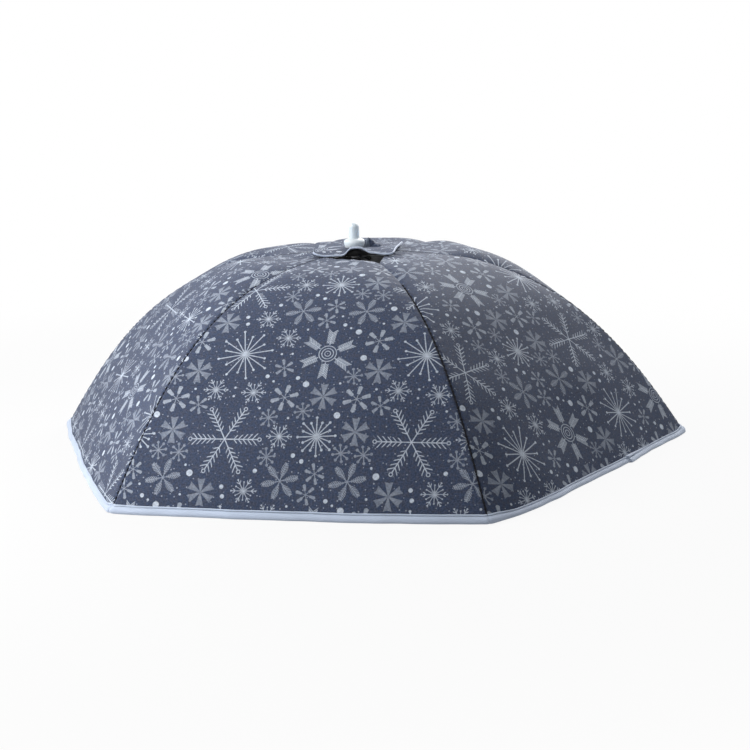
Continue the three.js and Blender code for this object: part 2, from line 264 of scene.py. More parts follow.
@dataclass(frozen=True)
class Arm:
    """One arm of a figure, with the plane folded on it and lengths as shares of its radius."""

    wiring: Wiring
    along: Socket
    across: Socket
    line: float
    soft: float
    tip: float = 2.6

    def within(self, width: Feed) -> Socket:
        """1 where the point is less than a width beside the arm."""
        off = self.wiring.math("SUBTRACT", self.across, width)
        return self.wiring.below(off, 0.0, self.soft)

    def between(self, value: Socket, start: float, end: float) -> Socket:
        """1 where the value lies between two edges."""
        above = self.wiring.above(value, start, self.soft)
        return self.wiring.all_of(above, self.wiring.below(value, end, self.soft))

    def from_spot(self, length: float) -> Socket:
        """How far the point is from a spot on the arm."""
        here = self.wiring.point(self.along, self.across)
        return self.wiring.measure("DISTANCE", here, (length, 0.0, 0.0))

    def stem(self, length: float, weight: float = 1.0) -> Socket:
        """A thin line from the middle to a length."""
        beside = self.wiring.below(self.across, weight * self.line, self.soft)
        return self.wiring.all_of(beside, self.wiring.below(self.along, length, self.soft))

    def ray(self, length: float, weight: float = 1.0) -> Socket:
        """A stem with a round tip."""
        ball = self.wiring.below(self.from_spot(length), self.tip * weight * self.line, self.soft)
        return self.wiring.any_of(self.stem(length, weight), ball)

    def barbs(self, lean: float, pitch: float, weight: float) -> tuple[Socket, Socket]:
        """Slanting strokes on both sides of the arm.

        Args:
            lean: how far a stroke runs outwards for its width.
            pitch: from one stroke to the next.
            weight: how heavy a stroke is, beside the print's line.

        Returns:
            The strokes' mask, and where each one starts along the arm.
        """
        shift = self.wiring.math("MULTIPLY", self.across, lean)
        root = self.wiring.math("SUBTRACT", self.along, shift)
        off = self.wiring.math("PINGPONG", root, pitch / 2)
        off = self.wiring.math("MULTIPLY", off, 1 / math.hypot(1, lean))
        return self.wiring.below(off, weight * self.line, self.soft), root


@dataclass(frozen=True)
class Blade:
    """The outline of a figure's flat blades, as shares of its radius."""

    spread: float
    root_width: float
    start: float
    notch: float
    end: float
    fade: float


PADDLE = Blade(spread=0.1, root_width=0.06, start=0.36, notch=0.5, end=0.94, fade=0.95)
WEDGE = Blade(spread=0.27, root_width=0.02, start=0.08, notch=-0.25, end=0.9, fade=0.7)


@dataclass(frozen=True)
class Figure:
    """One figure of the print, drawn as a mask, with its lengths as shares of its radius."""

    wiring: Wiring
    place: Socket
    reach: Socket
    line: float
    soft: float

    def arm(self, count: int = PANELS, phase: float = 0.0) -> Arm:
        """Fold the plane into one arm.

        Args:
            count: how many arms go round.
            phase: how far the arms are turned, as a share of one arm.

        Returns:
            The arm.
        """
        work, sector = self.wiring, math.pi / count
        parts = work.add("ShaderNodeSeparateXYZ", {0: self.place}).outputs
        angle = work.math("ARCTAN2", parts["Y"], parts["X"])
        angle = work.math("ADD", angle, 2 * sector * phase)
        beside = work.math("PINGPONG", angle, sector)
        along = work.math("MULTIPLY", self.reach, work.math("COSINE", beside))
        across = work.math("MULTIPLY", self.reach, work.math("SINE", beside))
        return Arm(work, along, across, self.line, self.soft)

    def glow(self, radius: float) -> Socket:
        """A soft spot in the middle."""
        return self.wiring.ramp(self.reach, 0.0, radius, 1.0, 0.0)

    def inside(self, radius: float) -> Socket:
        """1 within a radius."""
        return self.wiring.below(self.reach, radius, self.soft)

    def draw(self, drawing: Drawing) -> Socket:
        """Draw one kind of figure.

        Args:
            drawing: the kind.

        Returns:
            Its mask.
        """
        match drawing:
            case Drawing.BRANCHED:
                return self.branched()
            case Drawing.WREATH:
                return self.wreath()
            case Drawing.BURST:
                long_rays, short_rays = self.arm(8).ray(0.94), self.arm(8, 0.5).ray(0.72)
                return self.wiring.any_of(self.glow(0.22), long_rays, short_rays)
            case Drawing.PADDLES:
                return self.blades(PADDLE)
            case Drawing.WEDGES:
                return self.blades(WEDGE)
            case Drawing.FROST:
                return self.frost()
            case Drawing.FEATHERS:
                return self.feathers()
            case Drawing.ASTER:
                return self.arm(8).ray(0.9, 1.1)
            case Drawing.DOT:
                return self.inside(1.0)

    def branched(self) -> Socket:
        """Six stems with slanting twigs, and a small ring at each tip.

        Returns:
            The figure's mask.
        """
        work, arm, ring_place, ring_radius = self.wiring, self.arm(), 0.95, 0.045
        twigs, root = arm.barbs(lean=0.9, pitch=0.125, weight=0.85)
        reach = work.math("MULTIPLY_ADD", root, 0.09, 0.085)
        twigs = work.all_of(twigs, arm.within(reach), arm.between(root, 0.22, 0.86))
        off = work.math("ABSOLUTE", work.math("SUBTRACT", arm.from_spot(ring_place), ring_radius))
        ring = work.below(off, self.line * 0.8, self.soft)
        return work.any_of(twigs, arm.stem(ring_place - ring_radius), ring)

    def wreath(self) -> Socket:
        """Rings in the middle, and six veined plumes with a notched end.

        Returns:
            The figure's mask.
        """
        work, arm, middle, ring_pitch = self.wiring, self.arm(), 0.34, 0.1
        off = work.math("PINGPONG", self.reach, ring_pitch / 2)
        circle = work.below(off, self.line * 0.8, self.soft)
        strokes, root = arm.barbs(lean=0.9, pitch=0.075, weight=0.7)
        width = work.math("MULTIPLY_ADD", arm.along, 0.05, 0.105)
        veins = work.math("MULTIPLY_ADD", strokes, 0.65, 0.35)
        start, end = work.above(arm.along, 0.4, self.soft), work.below(root, 0.84, self.soft)
        plume = work.all_of(veins, arm.within(width), start, end)
        stem = work.all_of(arm.stem(0.8), work.above(self.reach, middle, self.soft))
        return work.any_of(work.all_of(circle, self.inside(middle)), plume, stem)

    def blades(self, blade: Blade) -> Socket:
        """Six flat blades on thin stems.

        Args:
            blade: the outline of one blade.

        Returns:
            The figure's mask.
        """
        work, arm = self.wiring, self.arm()
        width = work.math("MULTIPLY_ADD", arm.along, blade.spread, blade.root_width)
        end = work.math("MULTIPLY_ADD", arm.across, blade.notch, arm.along)
        end = work.below(end, blade.end, self.soft)
        fade = work.ramp(arm.along, 0.1, 1.1, 1.0, blade.fade)
        start = work.above(arm.along, blade.start, self.soft)
        return work.any_of(work.all_of(arm.within(width), end, start, fade), arm.ray(0.42, 0.6))

    def frost(self) -> Socket:
        """Twelve short rays and six long ones with twigs.

        Returns:
            The figure's mask.
        """
        work, arm = self.wiring, self.arm()
        twigs, root = arm.barbs(lean=1.1, pitch=0.3, weight=0.8)
        short, start = work.below(arm.across, 0.17, self.soft), work.above(root, 0.4, self.soft)
        twigs = work.all_of(twigs, short, start, self.inside(0.95))
        rays = self.arm(2 * PANELS).ray(0.66, 0.55)
        return work.any_of(self.glow(0.38), twigs, rays, arm.ray(0.92, 0.6))

    def feathers(self) -> Socket:
        """Six leaves of slanting strokes.

        Returns:
            The figure's mask.
        """
        work, arm, middle = self.wiring, self.arm(), 0.65
        strokes, root = arm.barbs(lean=0.7, pitch=0.1, weight=0.9)
        bulge = work.ramp(work.math("PINGPONG", arm.along, middle), 0.0, middle, 0.0, 0.17)
        leaf = work.all_of(arm.within(bulge), strokes, work.below(root, 0.95, self.soft))
        return work.any_of(leaf, arm.ray(0.9, 0.8))


@dataclass(frozen=True)
class Motif:
    """One kind of figure, how large it is and how many of it one repeat of the print holds."""

    drawing: Drawing
    radius: float
    count: int
    strength: float
    turn_degrees: float = 0.0


@dataclass(frozen=True)
class SnowPrint:
    """A winter print that repeats over the cloth, with its figures spread by a fixed seed."""

    repeat: float = 168 * MM
    seed: int = 23
    tries: int = 6000
    line: float = 0.45 * MM
    soft: float = 0.35 * MM
    speck_pitch: float = 8 * MM
    speck_strength: float = 0.55
    speck_size: float = 0.02
    speck_growth: float = 0.07
    motifs: tuple[Motif, ...] = (
        Motif(Drawing.BRANCHED, 34 * MM, 1, 0.92, 0),
        Motif(Drawing.WREATH, 27 * MM, 1, 0.85, 25),
        Motif(Drawing.BURST, 27 * MM, 1, 0.9, 10),
        Motif(Drawing.BURST, 18 * MM, 1, 0.85, 3),
        Motif(Drawing.FEATHERS, 17 * MM, 2, 0.5, 12),
        Motif(Drawing.PADDLES, 14 * MM, 3, 0.6, 17),
        Motif(Drawing.WEDGES, 13 * MM, 4, 0.4, 30),
        Motif(Drawing.FROST, 12 * MM, 5, 0.86, 0),
        Motif(Drawing.PADDLES, 10 * MM, 4, 0.5, 42),
        Motif(Drawing.ASTER, 8 * MM, 6, 0.4, 8),
        Motif(Drawing.DOT, 2.9 * MM, 5, 1.0),
        Motif(Drawing.DOT, 1.9 * MM, 8, 1.0),
        Motif(Drawing.DOT, 1.1 * MM, 14, 0.95),
    )

    def spread(self) -> list[tuple[Motif, Array]]:
        """Give every figure a place in the repeat, clear of the others.

        Returns:
            Each motif with its centres, in metres.
        """
        random = np.random.default_rng(self.seed)
        centres, radii, placed = np.zeros((0, 2)), np.zeros(0), []
        for motif in self.motifs:
            first = len(centres)
            for _ in range(motif.count):
                spots = random.random((self.tries, 2)) * self.repeat
                if len(centres):
                    step = spots[:, None] - centres[None]
                    step -= np.round(step / self.repeat) * self.repeat
                    room = (np.linalg.norm(step, axis=2) - radii - motif.radius).min(axis=1)
                    spots = spots[np.argmax(room)][None]
                centres = np.vstack([centres, spots[:1]])
                radii = np.append(radii, motif.radius)
            placed.append((motif, centres[first:]))
        return placed

    def nearest(self, wiring: Wiring, place: Socket, centres: Array) -> Socket:
        """Find the nearest of some centres, in a print that repeats.

        Args:
            wiring: the tree to work in.
            place: a point of the print.
            centres: the centres, in metres.

        Returns:
            The way from the nearest centre to the point.
        """
        half = self.repeat / 2
        way, least = None, None
        for centre in centres:
            step = wiring.vector("SUBTRACT", place, (*map(float, centre), 0.0))
            step = wiring.vector("WRAP", step, (half,) * 3, (-half,) * 3)
            reach = wiring.measure("LENGTH", step)
            if way is None:
                way, least = step, reach
                continue
            closer = wiring.math("LESS_THAN", reach, least)
            way = wiring.mix_vector(closer, way, step)
            least = wiring.math("MINIMUM", least, reach)
        return way

    def specks(self, wiring: Wiring, place: Socket) -> Socket:
        """Scatter tiny dots of several sizes between the figures.

        Args:
            wiring: the tree to work in.
            place: a point of the print.

        Returns:
            Their mask.
        """
        inputs = {"Vector": place, "Scale": 1 / self.speck_pitch}
        cells = wiring.add("ShaderNodeTexVoronoi", inputs, voronoi_dimensions="2D").outputs
        size = wiring.math("MULTIPLY_ADD", cells["Color"], self.speck_growth, self.speck_size)
        spot = wiring.math("SUBTRACT", cells["Distance"], size)
        return wiring.below(spot, 0.0, self.soft / self.speck_pitch)

    def build(self) -> None:
        """Make the print's shader group."""
        wiring, given, taken = new_tree(
            "ShaderNodeTree", PRINT_GROUP, {"Place": "Vector"}, {"Mask": "Float"}
        )
        place = given["Place"]
        total = wiring.math("MULTIPLY", self.specks(wiring, place), self.speck_strength)
        for motif, centres in self.spread():
            way = self.nearest(wiring, place, centres)
            inputs = {"Vector": way, "Angle": math.radians(motif.turn_degrees)}
            turn = wiring.add("ShaderNodeVectorRotate", inputs, rotation_type="Z_AXIS")
            local = wiring.vector("MULTIPLY", turn.outputs[0], (1 / motif.radius,) * 3)
            reach = wiring.measure("LENGTH", local)
            line, soft = self.line / motif.radius, self.soft / motif.radius
            mask = Figure(wiring, local, reach, line, soft).draw(motif.drawing)
            total = wiring.any_of(total, wiring.math("MULTIPLY", mask, motif.strength))
        wiring.feed(taken, {"Mask": total})


def build_weave_group() -> None:
    """Threads over and under: a height that follows two crossing rows of yarn."""
    wiring, given, taken = new_tree(
        "ShaderNodeTree", WEAVE_GROUP, {"Place": "Vector", "Pitch": "Float"}, {"Height": "Float"}
    )
    turns = wiring.math("DIVIDE", 2 * math.pi, given["Pitch"])
    parts = wiring.add("ShaderNodeSeparateXYZ", {0: wiring.scaled(given["Place"], turns)}).outputs
    rows = wiring.math("MULTIPLY", *(wiring.math("SINE", parts[axis]) for axis in "XY"))
    wiring.feed(taken, {"Height": wiring.math("MULTIPLY_ADD", rows, 0.5, 0.5)})


def build_wear_group(clouds: float = 14.0, grains: float = 900.0) -> None:
    """Cloudy colour change and fine grain, for any finish.

    Args:
        clouds: spots of colour to the metre.
        grains: grains to the metre.
    """
    wiring, given, taken = new_tree(
        "ShaderNodeTree",
        WEAR_GROUP,
        {"Place": "Vector", "Color": "Color", "Amount": "Float"},
        {"Color": "Color", "Grain": "Float"},
    )
    cloud = wiring.math("SUBTRACT", wiring.noise(given["Place"], clouds, 4.0), 0.5)
    level = wiring.math("ADD", 1.0, wiring.math("MULTIPLY", cloud, given["Amount"]))
    color = wiring.scaled(given["Color"], level)
    wiring.feed(taken, {"Color": color, "Grain": wiring.noise(given["Place"], grains, 3.0)})


@dataclass(frozen=True)
class Finish:
    """A surface finish, made once and shared by every piece that has it."""

    name: str
    color: Color
    roughness: float

    def material(self) -> bpy.types.Material:
        """Make the finish's material, or find it where it is made.

        Returns:
            The material.
        """
        made = bpy.data.materials.get(self.name)
        if made:
            return made
        made = bpy.data.materials.new(self.name)
        made.use_nodes = True
        made.diffuse_color = (*self.color, 1.0)
        shader = made.node_tree.nodes["Principled BSDF"]
        shader.inputs["Roughness"].default_value = self.roughness
        self.paint(Wiring(made.node_tree), shader)
        return made

    def paint(self, wiring: Wiring, shader: Node) -> None:
        """Wire the finish's own detail."""

    def on_object(self, wiring: Wiring) -> Socket:
        """Where a point is on the object, in metres."""
        return wiring.add("ShaderNodeTexCoord").outputs["Object"]

    def on_cloth(self, wiring: Wiring) -> Socket:
        """Where a point is on the flat cloth, in metres."""
        return wiring.add("ShaderNodeUVMap", uv_map=CLOTH_UV).outputs["UV"]

    def worn(self, wiring: Wiring, place: Socket, amount: float) -> dict[str, Socket]:
        """The finish's colour with cloudy wear, and its grain."""
        inputs = {"Place": place, "Color": (*self.color, 1.0), "Amount": amount}
        return wiring.group(WEAR_GROUP, inputs)

    def woven(self, wiring: Wiring, place: Socket, pitch: float) -> Socket:
        """The height of a weave with a pitch."""
        return wiring.group(WEAVE_GROUP, {"Place": place, "Pitch": pitch})["Height"]


@dataclass(frozen=True)
class PrintedCloth(Finish):
    """Dark woven polyester with a pale winter print."""

    ink: Color = (0.63, 0.70, 0.80)
    second_dye: Color = (0.064, 0.072, 0.106)
    yarn: float = 0.55 * MM
    wear: float = 0.35
    blotches: float = 290.0
    specks: float = 640.0
    dye_by_blotch: Ramp = (0.4, 0.62, 0.0, 0.75)
    dye_by_speck: Ramp = (0.3, 0.7, 0.74, 1.24)
    ink_by_yarn: Ramp = (0.0, 1.0, 0.88, 1.0)
    ink_by_speck: Ramp = (0.3, 0.7, 0.76, 1.04)
    ink_by_blotch: Ramp = (0.38, 0.6, 0.84, 1.02)
    ink_roughness: float = 0.08
    grain_share: float = 0.4
    relief: float = 0.03 * MM
    sheen: float = 0.1
    gloss: float = 0.05

    def paint(self, wiring: Wiring, shader: Node) -> None:
        """Print on yarn, with a faint sheen.

        Args:
            wiring: the material's tree.
            shader: its surface shader.
        """
        place = self.on_cloth(wiring)
        mask = wiring.group(PRINT_GROUP, {"Place": place})["Mask"]
        worn, weave = self.worn(wiring, place, self.wear), self.woven(wiring, place, self.yarn)
        blotch = wiring.noise(place, self.blotches, 3.0)
        speck = wiring.noise(place, self.specks, 2.0)
        second = wiring.ramp(blotch, *self.dye_by_blotch)
        dyed = wiring.mix_color(second, worn["Color"], self.second_dye)
        dyed = wiring.scaled(dyed, wiring.ramp(speck, *self.dye_by_speck))
        ink = wiring.all_of(
            mask,
            wiring.ramp(weave, *self.ink_by_yarn),
            wiring.ramp(speck, *self.ink_by_speck),
            wiring.ramp(blotch, *self.ink_by_blotch),
        )
        height = wiring.math("MULTIPLY_ADD", worn["Grain"], self.grain_share, weave)
        wiring.feed(shader, {
            "Base Color": wiring.mix_color(ink, dyed, self.ink),
            "Roughness": wiring.math("MULTIPLY_ADD", mask, self.ink_roughness, self.roughness),
            "Normal": wiring.bump(height, self.relief),
            "Sheen Weight": self.sheen,
            "Sheen Roughness": 0.5,
            "Specular IOR Level": self.gloss,
        })


@dataclass(frozen=True)
class FoilLining(Finish):
    """Silver foil on thin foam, crinkled."""

    crease: float = 9 * MM
    crinkles: float = 420.0
    crease_width: Span = (0.0, 0.12)
    crinkle_share: float = 0.7
    relief: float = 0.25 * MM
    scuff: float = 0.2

    def paint(self, wiring: Wiring, shader: Node) -> None:
        """Fine creases and a scuffed gloss.

        Args:
            wiring: the material's tree.
            shader: its surface shader.
        """
        place = self.on_object(wiring)
        inputs = {"Vector": place, "Scale": 1 / self.crease}
        cells = wiring.add("ShaderNodeTexVoronoi", inputs, feature="DISTANCE_TO_EDGE")
        fold = wiring.ramp(cells.outputs["Distance"], *self.crease_width)
        fine = wiring.noise(place, self.crinkles, 4.0)
        height = wiring.math("MULTIPLY_ADD", fine, self.crinkle_share, fold)
        least = self.roughness - self.scuff / 2
        wiring.feed(shader, {
            "Base Color": self.worn(wiring, place, 0.25)["Color"],
            "Normal": wiring.bump(height, self.relief),
            "Roughness": wiring.math("MULTIPLY_ADD", fine, self.scuff, least),
            "Metallic": 0.85,
        })


@dataclass(frozen=True)
class Tape(Finish):
    """Woven binding tape with fine cross ribs."""

    rib: float = 0.7 * MM
    # The tape's colour is darker in the ribs' hollows and a little lighter on their tops: painted
    # shade.
    painted_shade_by_rib: Ramp = (0.0, 1.0, 0.93, 1.02)
    relief: float = 0.05 * MM

    def paint(self, wiring: Wiring, shader: Node) -> None:
        """Cross ribs along the tape, with painted shade in their hollows, and a little soiling.

        Args:
            wiring: the material's tree.
            shader: its surface shader.
        """
        place = self.on_cloth(wiring)
        worn, weave = self.worn(wiring, place, 0.3), self.woven(wiring, place, self.rib)
        height = wiring.math("MULTIPLY_ADD", worn["Grain"], 0.5, weave)
        wiring.feed(shader, {
            "Base Color": wiring.scaled(worn["Color"], wiring.ramp(weave, *self.painted_shade_by_rib)),
            "Normal": wiring.bump(height, self.relief),
            "Sheen Weight": 0.4,
        })


@dataclass(frozen=True)
class Moulding(Finish):
    """Moulded plastic, finely grained, which may glow a little as light goes through it."""

    relief: float = 0.02 * MM
    cloudiness: float = 0.16
    glow: float = 0.0
    glow_depth: float = 6 * MM

    def paint(self, wiring: Wiring, shader: Node) -> None:
        """Grain, and cloudy gloss from handling.

        Args:
            wiring: the material's tree.
            shader: its surface shader.
        """
        worn = self.worn(wiring, self.on_object(wiring), 0.12)
        least = self.roughness - self.cloudiness / 2
        wiring.feed(shader, {
            "Base Color": worn["Color"],
            "Roughness": wiring.math("MULTIPLY_ADD", worn["Grain"], self.cloudiness, least),
            "Normal": wiring.bump(worn["Grain"], self.relief),
            "Subsurface Weight": self.glow,
            "Subsurface Radius": (1.0, 1.0, 1.0),
            "Subsurface Scale": self.glow_depth,
        })


@dataclass(frozen=True)
class DrawnSteel(Finish):
    """Plated steel with streaks and dull spots."""

    spots: float = 160.0
    spot_edge: Span = (0.55, 0.75)
    dullness: float = 0.25
    relief: float = 0.02 * MM

    def paint(self, wiring: Wiring, shader: Node) -> None:
        """Streaks, and spots where the plating is dull.

        Args:
            wiring: the material's tree.
            shader: its surface shader.
        """
        place = self.on_object(wiring)
        worn = self.worn(wiring, place, 0.3)
        spots = wiring.ramp(wiring.noise(place, self.spots, 5.0), *self.spot_edge)
        wiring.feed(shader, {
            "Base Color": worn["Color"],
            "Roughness": wiring.math("MULTIPLY_ADD", spots, self.dullness, self.roughness),
            "Normal": wiring.bump(worn["Grain"], self.relief),
            "Metallic": 1.0,
        })


@dataclass(frozen=True)
class Thread(Finish):
    """Twisted sewing thread."""

    twists: float = 2400.0
    # The thread's colour is darker where its bump is low and lighter where it is high: painted
    # shade and highlight.
    painted_shade_by_twist: Ramp = (0.3, 0.7, 0.75, 1.1)
    relief: float = 0.05 * MM

    def paint(self, wiring: Wiring, shader: Node) -> None:
        """A fine twist along the thread, with painted shade where its bump is low and a painted
        highlight where it is high.

        Args:
            wiring: the material's tree.
            shader: its surface shader.
        """
        twist = wiring.noise(self.on_object(wiring), self.twists, 1.0)
        wiring.feed(shader, {
            "Base Color": wiring.scaled(self.color, wiring.ramp(twist, *self.painted_shade_by_twist)),
            "Normal": wiring.bump(twist, self.relief),
            "Specular IOR Level": 0.1,
        })


CLOTH = PrintedCloth("printed cloth", (0.049, 0.067, 0.119), 0.6)
FOIL = FoilLining("foil lining", (0.64, 0.65, 0.67), 0.42)
TAPE = Tape("pale tape", (0.462, 0.538, 0.68), 0.72)
WHITE = Moulding("white plastic", (0.70, 0.77, 0.82), 0.42, glow=0.7)
# Near-black plastic for the hub, runner and clips; on the hub and runner it also paints the vent's
# gap as dark as shade.
BLACK_PLASTIC_AND_VENT_SHADE = Moulding("black plastic", (0.022, 0.023, 0.026), 0.42)
STEEL = DrawnSteel("plated steel", (0.56, 0.57, 0.59), 0.3)
# Dark thread for the stitches, and for the seam cores, which paint the shade in the seams' dips.
DARK_THREAD_AND_SEAM_SHADE = Thread("dark thread", (0.012, 0.013, 0.018), 0.7)
PALE_THREAD = Thread("pale thread", (0.50, 0.57, 0.66), 0.7)


def smooth(share: Array) -> Array:
    """A smooth step of a share that is cut to 0 and 1."""
    held = np.clip(share, 0.0, 1.0)
    return held * held * (3 - 2 * held)


def rise(share: Array, span: Span) -> Array:
    """A smooth step that starts at one share and grows over another."""
    return smooth((share - span[0]) / span[1])


def bell(off: Array, width: float) -> Array:
    """A bell that is 1 in the middle."""
    return np.exp(-((off / width) ** 2))


def angle_between(first: Array, second: float) -> Array:
    """The angle from one direction to another, within half a turn either way."""
    return np.angle(np.exp(1j * (first - second)))


def joined(x: Array, y: Array, z: Array | float) -> Array:
    """Points from their coordinates, each spread over the shape of the largest."""
    return np.stack(np.broadcast_arrays(x, y, z), axis=-1)


@dataclass(frozen=True)
class Ripple:
    """Soft seeded noise over a surface: a sum of a few waves."""

    seed: int
    length: float
    waves: int = 9

    def at(self, u: Array, v: Array) -> Array:
        """Give the noise at a place.

        Args:
            u: one way over the surface, in metres.
            v: the other way.

        Returns:
            The noise, from about -1 to 1.
        """
        random = np.random.default_rng(self.seed)
        total = np.zeros(np.broadcast(u, v).shape)
        for _ in range(self.waves):
            angle, phase = random.random(2) * 2 * math.pi
            pitch = self.length * (0.6 + random.random())
            run = (u * math.cos(angle) + v * math.sin(angle)) / pitch
            total += np.sin(2 * math.pi * run + phase)
        return total / math.sqrt(self.waves) * 0.7


def grid_faces(rows: int, columns: int, wrap_rows: bool = False,
               wrap_columns: bool = False) -> Array:
    """Join a grid of points, numbered row by row, by quads.

    Args:
        rows: how many rows there are.
        columns: how many points each has.
        wrap_rows: whether the last row joins the first.
        wrap_columns: whether each row closes on itself.

    Returns:
        Four point numbers for each quad.
    """
    row = np.arange(rows if wrap_rows else rows - 1)
    column = np.arange(columns if wrap_columns else columns - 1)
    i, j = np.meshgrid(row, column, indexing="ij")
    below, right = (i + 1) % rows, (j + 1) % columns
    corner = (i * columns + j, below * columns + j, below * columns + right, i * columns + right)
    return np.stack(corner, axis=-1).reshape(-1, 4)


def linked(name: str, mesh: bpy.types.Mesh) -> Piece:
    """Make an object of a mesh and put it in the scene.

    Args:
        name: the piece's name.
        mesh: its mesh.

    Returns:
        The new object.
    """
    piece = bpy.data.objects.new(name, mesh)
    bpy.context.scene.collection.objects.link(piece)
    return piece


def shaded(piece: Piece) -> Piece:
    """Shade a piece smooth but for its sharp edges.

    Args:
        piece: the piece.

    Returns:
        The same piece.
    """
    piece.data.polygons.foreach_set("use_smooth", np.ones(len(piece.data.polygons), bool))
    piece.data.set_sharp_from_angle(angle=SHARP_ANGLE)
    return piece


def finished(piece: Piece, finish: Finish) -> Piece:
    """Give a piece its finish and shade it.

    Args:
        piece: the piece.
        finish: what it is finished in.

    Returns:
        The same piece.
    """
    piece.data.materials.clear()
    piece.data.materials.append(finish.material())
    return shaded(piece)


def new_piece(name: str, points: Array, faces: Sequence, finish: Finish,
              uv: Array | None = None) -> Piece:
    """Make an object from points and faces.

    Args:
        name: the piece's name.
        points: its points, in metres.
        faces: its faces, as point numbers.
        finish: what it is finished in.
        uv: a flat place in metres for each point.

    Returns:
        The new object, with its faces turned outwards.
    """
    mesh = bpy.data.meshes.new(name)
    numbers = [list(map(int, face)) for face in faces]
    mesh.from_pydata(np.asarray(points).reshape(-1, 3).tolist(), [], numbers)
    if uv is not None:
        corner = np.zeros(len(mesh.loops), np.int32)
        mesh.loops.foreach_get("vertex_index", corner)
        flat = np.asarray(uv).reshape(-1, 2)[corner].astype(np.float32)
        mesh.uv_layers.new(name=CLOTH_UV).data.foreach_set("uv", flat.ravel())
    if signed_volume(mesh) < 0:
        mesh.flip_normals()
    return finished(linked(name, mesh), finish)


def signed_volume(mesh: bpy.types.Mesh) -> float:
    """Measure the volume inside a mesh.

    Args:
        mesh: a closed mesh.

    Returns:
        Six times the volume, below zero where the faces point inwards.
    """
    points = np.zeros(len(mesh.vertices) * 3)
    mesh.vertices.foreach_get("co", points)
    points = points.reshape(-1, 3)
    mesh.calc_loop_triangles()
    corner = np.zeros(len(mesh.loop_triangles) * 3, np.int32)
    mesh.loop_triangles.foreach_get("vertices", corner)
    a, b, c = (points[corner[i::3]] for i in range(3))
    return float(np.einsum("ij,ij->i", a, np.cross(b, c)).sum())


def shell(name: str, outer: Array, inner: Array, uv: Array, finish: Finish) -> Piece:
    """Close two grids of points into one sheet with a thickness.

    Args:
        name: the piece's name.
        outer: rows and columns of points of the outer face.
        inner: the same for the inner face.
        uv: the flat place of each point of one face.
        finish: what the sheet is finished in.

    Returns:
        The new object.
    """
    rows, columns = outer.shape[:2]
    count = rows * columns
    front = grid_faces(rows, columns)
    number = np.arange(count).reshape(rows, columns)
    edge = np.concatenate(
        [number[:-1, 0], number[-1, :-1], number[:0:-1, -1], number[0, :0:-1]]
    )
    after = np.roll(edge, -1)
    wall = np.stack([edge, edge + count, after + count, after], axis=-1)
    faces = np.concatenate([front, front[:, ::-1] + count, wall[:, ::-1]])
    points = np.concatenate([outer.reshape(-1, 3), inner.reshape(-1, 3)])
    return new_piece(name, points, faces, finish, np.concatenate([uv.reshape(-1, 2)] * 2))


def turned(name: str, profile: Sequence[tuple[float, float]], finish: Finish,
           sides: int = 72) -> Piece:
    """Turn a closed profile of radius and height about the Z axis.

    Args:
        name: the piece's name.
        profile: its points, which start and end on the axis or close on themselves.
        finish: what it is finished in.
        sides: how many steps go round.

    Returns:
        The new object, with its poles merged.
    """
    points = np.array(profile)
    angle = np.arange(sides) * 2 * math.pi / sides
    radius, height = points[:, :1], points[:, 1:]
    closed = bool(points[0, 0] > 0)
    faces = grid_faces(len(points), sides, wrap_rows=closed, wrap_columns=True)
    rings = joined(radius * np.cos(angle), radius * np.sin(angle), height)
    piece = new_piece(name, rings, faces, finish)
    merge(piece.data)
    return shaded(piece)


def merge(mesh: bpy.types.Mesh, distance: float = 1e-6) -> None:
    """Merge the points of a mesh that lie together, and drop faces without area.

    Args:
        mesh: the mesh to change.
        distance: how near points are merged, in metres.
    """
    work = bmesh.new()
    work.from_mesh(mesh)
    bmesh.ops.remove_doubles(work, verts=work.verts, dist=distance)
    bmesh.ops.dissolve_degenerate(work, edges=work.edges, dist=distance)
    bmesh.ops.recalc_face_normals(work, faces=work.faces)
    work.to_mesh(mesh)
    work.free()


def quarter(radius: float, height: float, fillet: float, steps: int = 8) -> list[Span]:
    """Round a corner from an outer wall up and in to a top face.

    Args:
        radius: the wall's radius.
        height: the top's height.
        fillet: the radius of the rounding.
        steps: how many steps it has.

    Returns:
        The radius and the height of each point.
    """
    turns = [math.pi / 2 * i / steps for i in range(steps + 1)]
    return [
        (radius - fillet * (1 - math.cos(t)), height - fillet * (1 - math.sin(t))) for t in turns
    ]


def baked(piece: Piece) -> None:
    """Turn a piece's modifiers into plain mesh.

    Args:
        piece: the piece to change.
    """
    graph = bpy.context.evaluated_depsgraph_get()
    mesh = bpy.data.meshes.new_from_object(piece.evaluated_get(graph))
    piece.modifiers.clear()
    piece.data = mesh


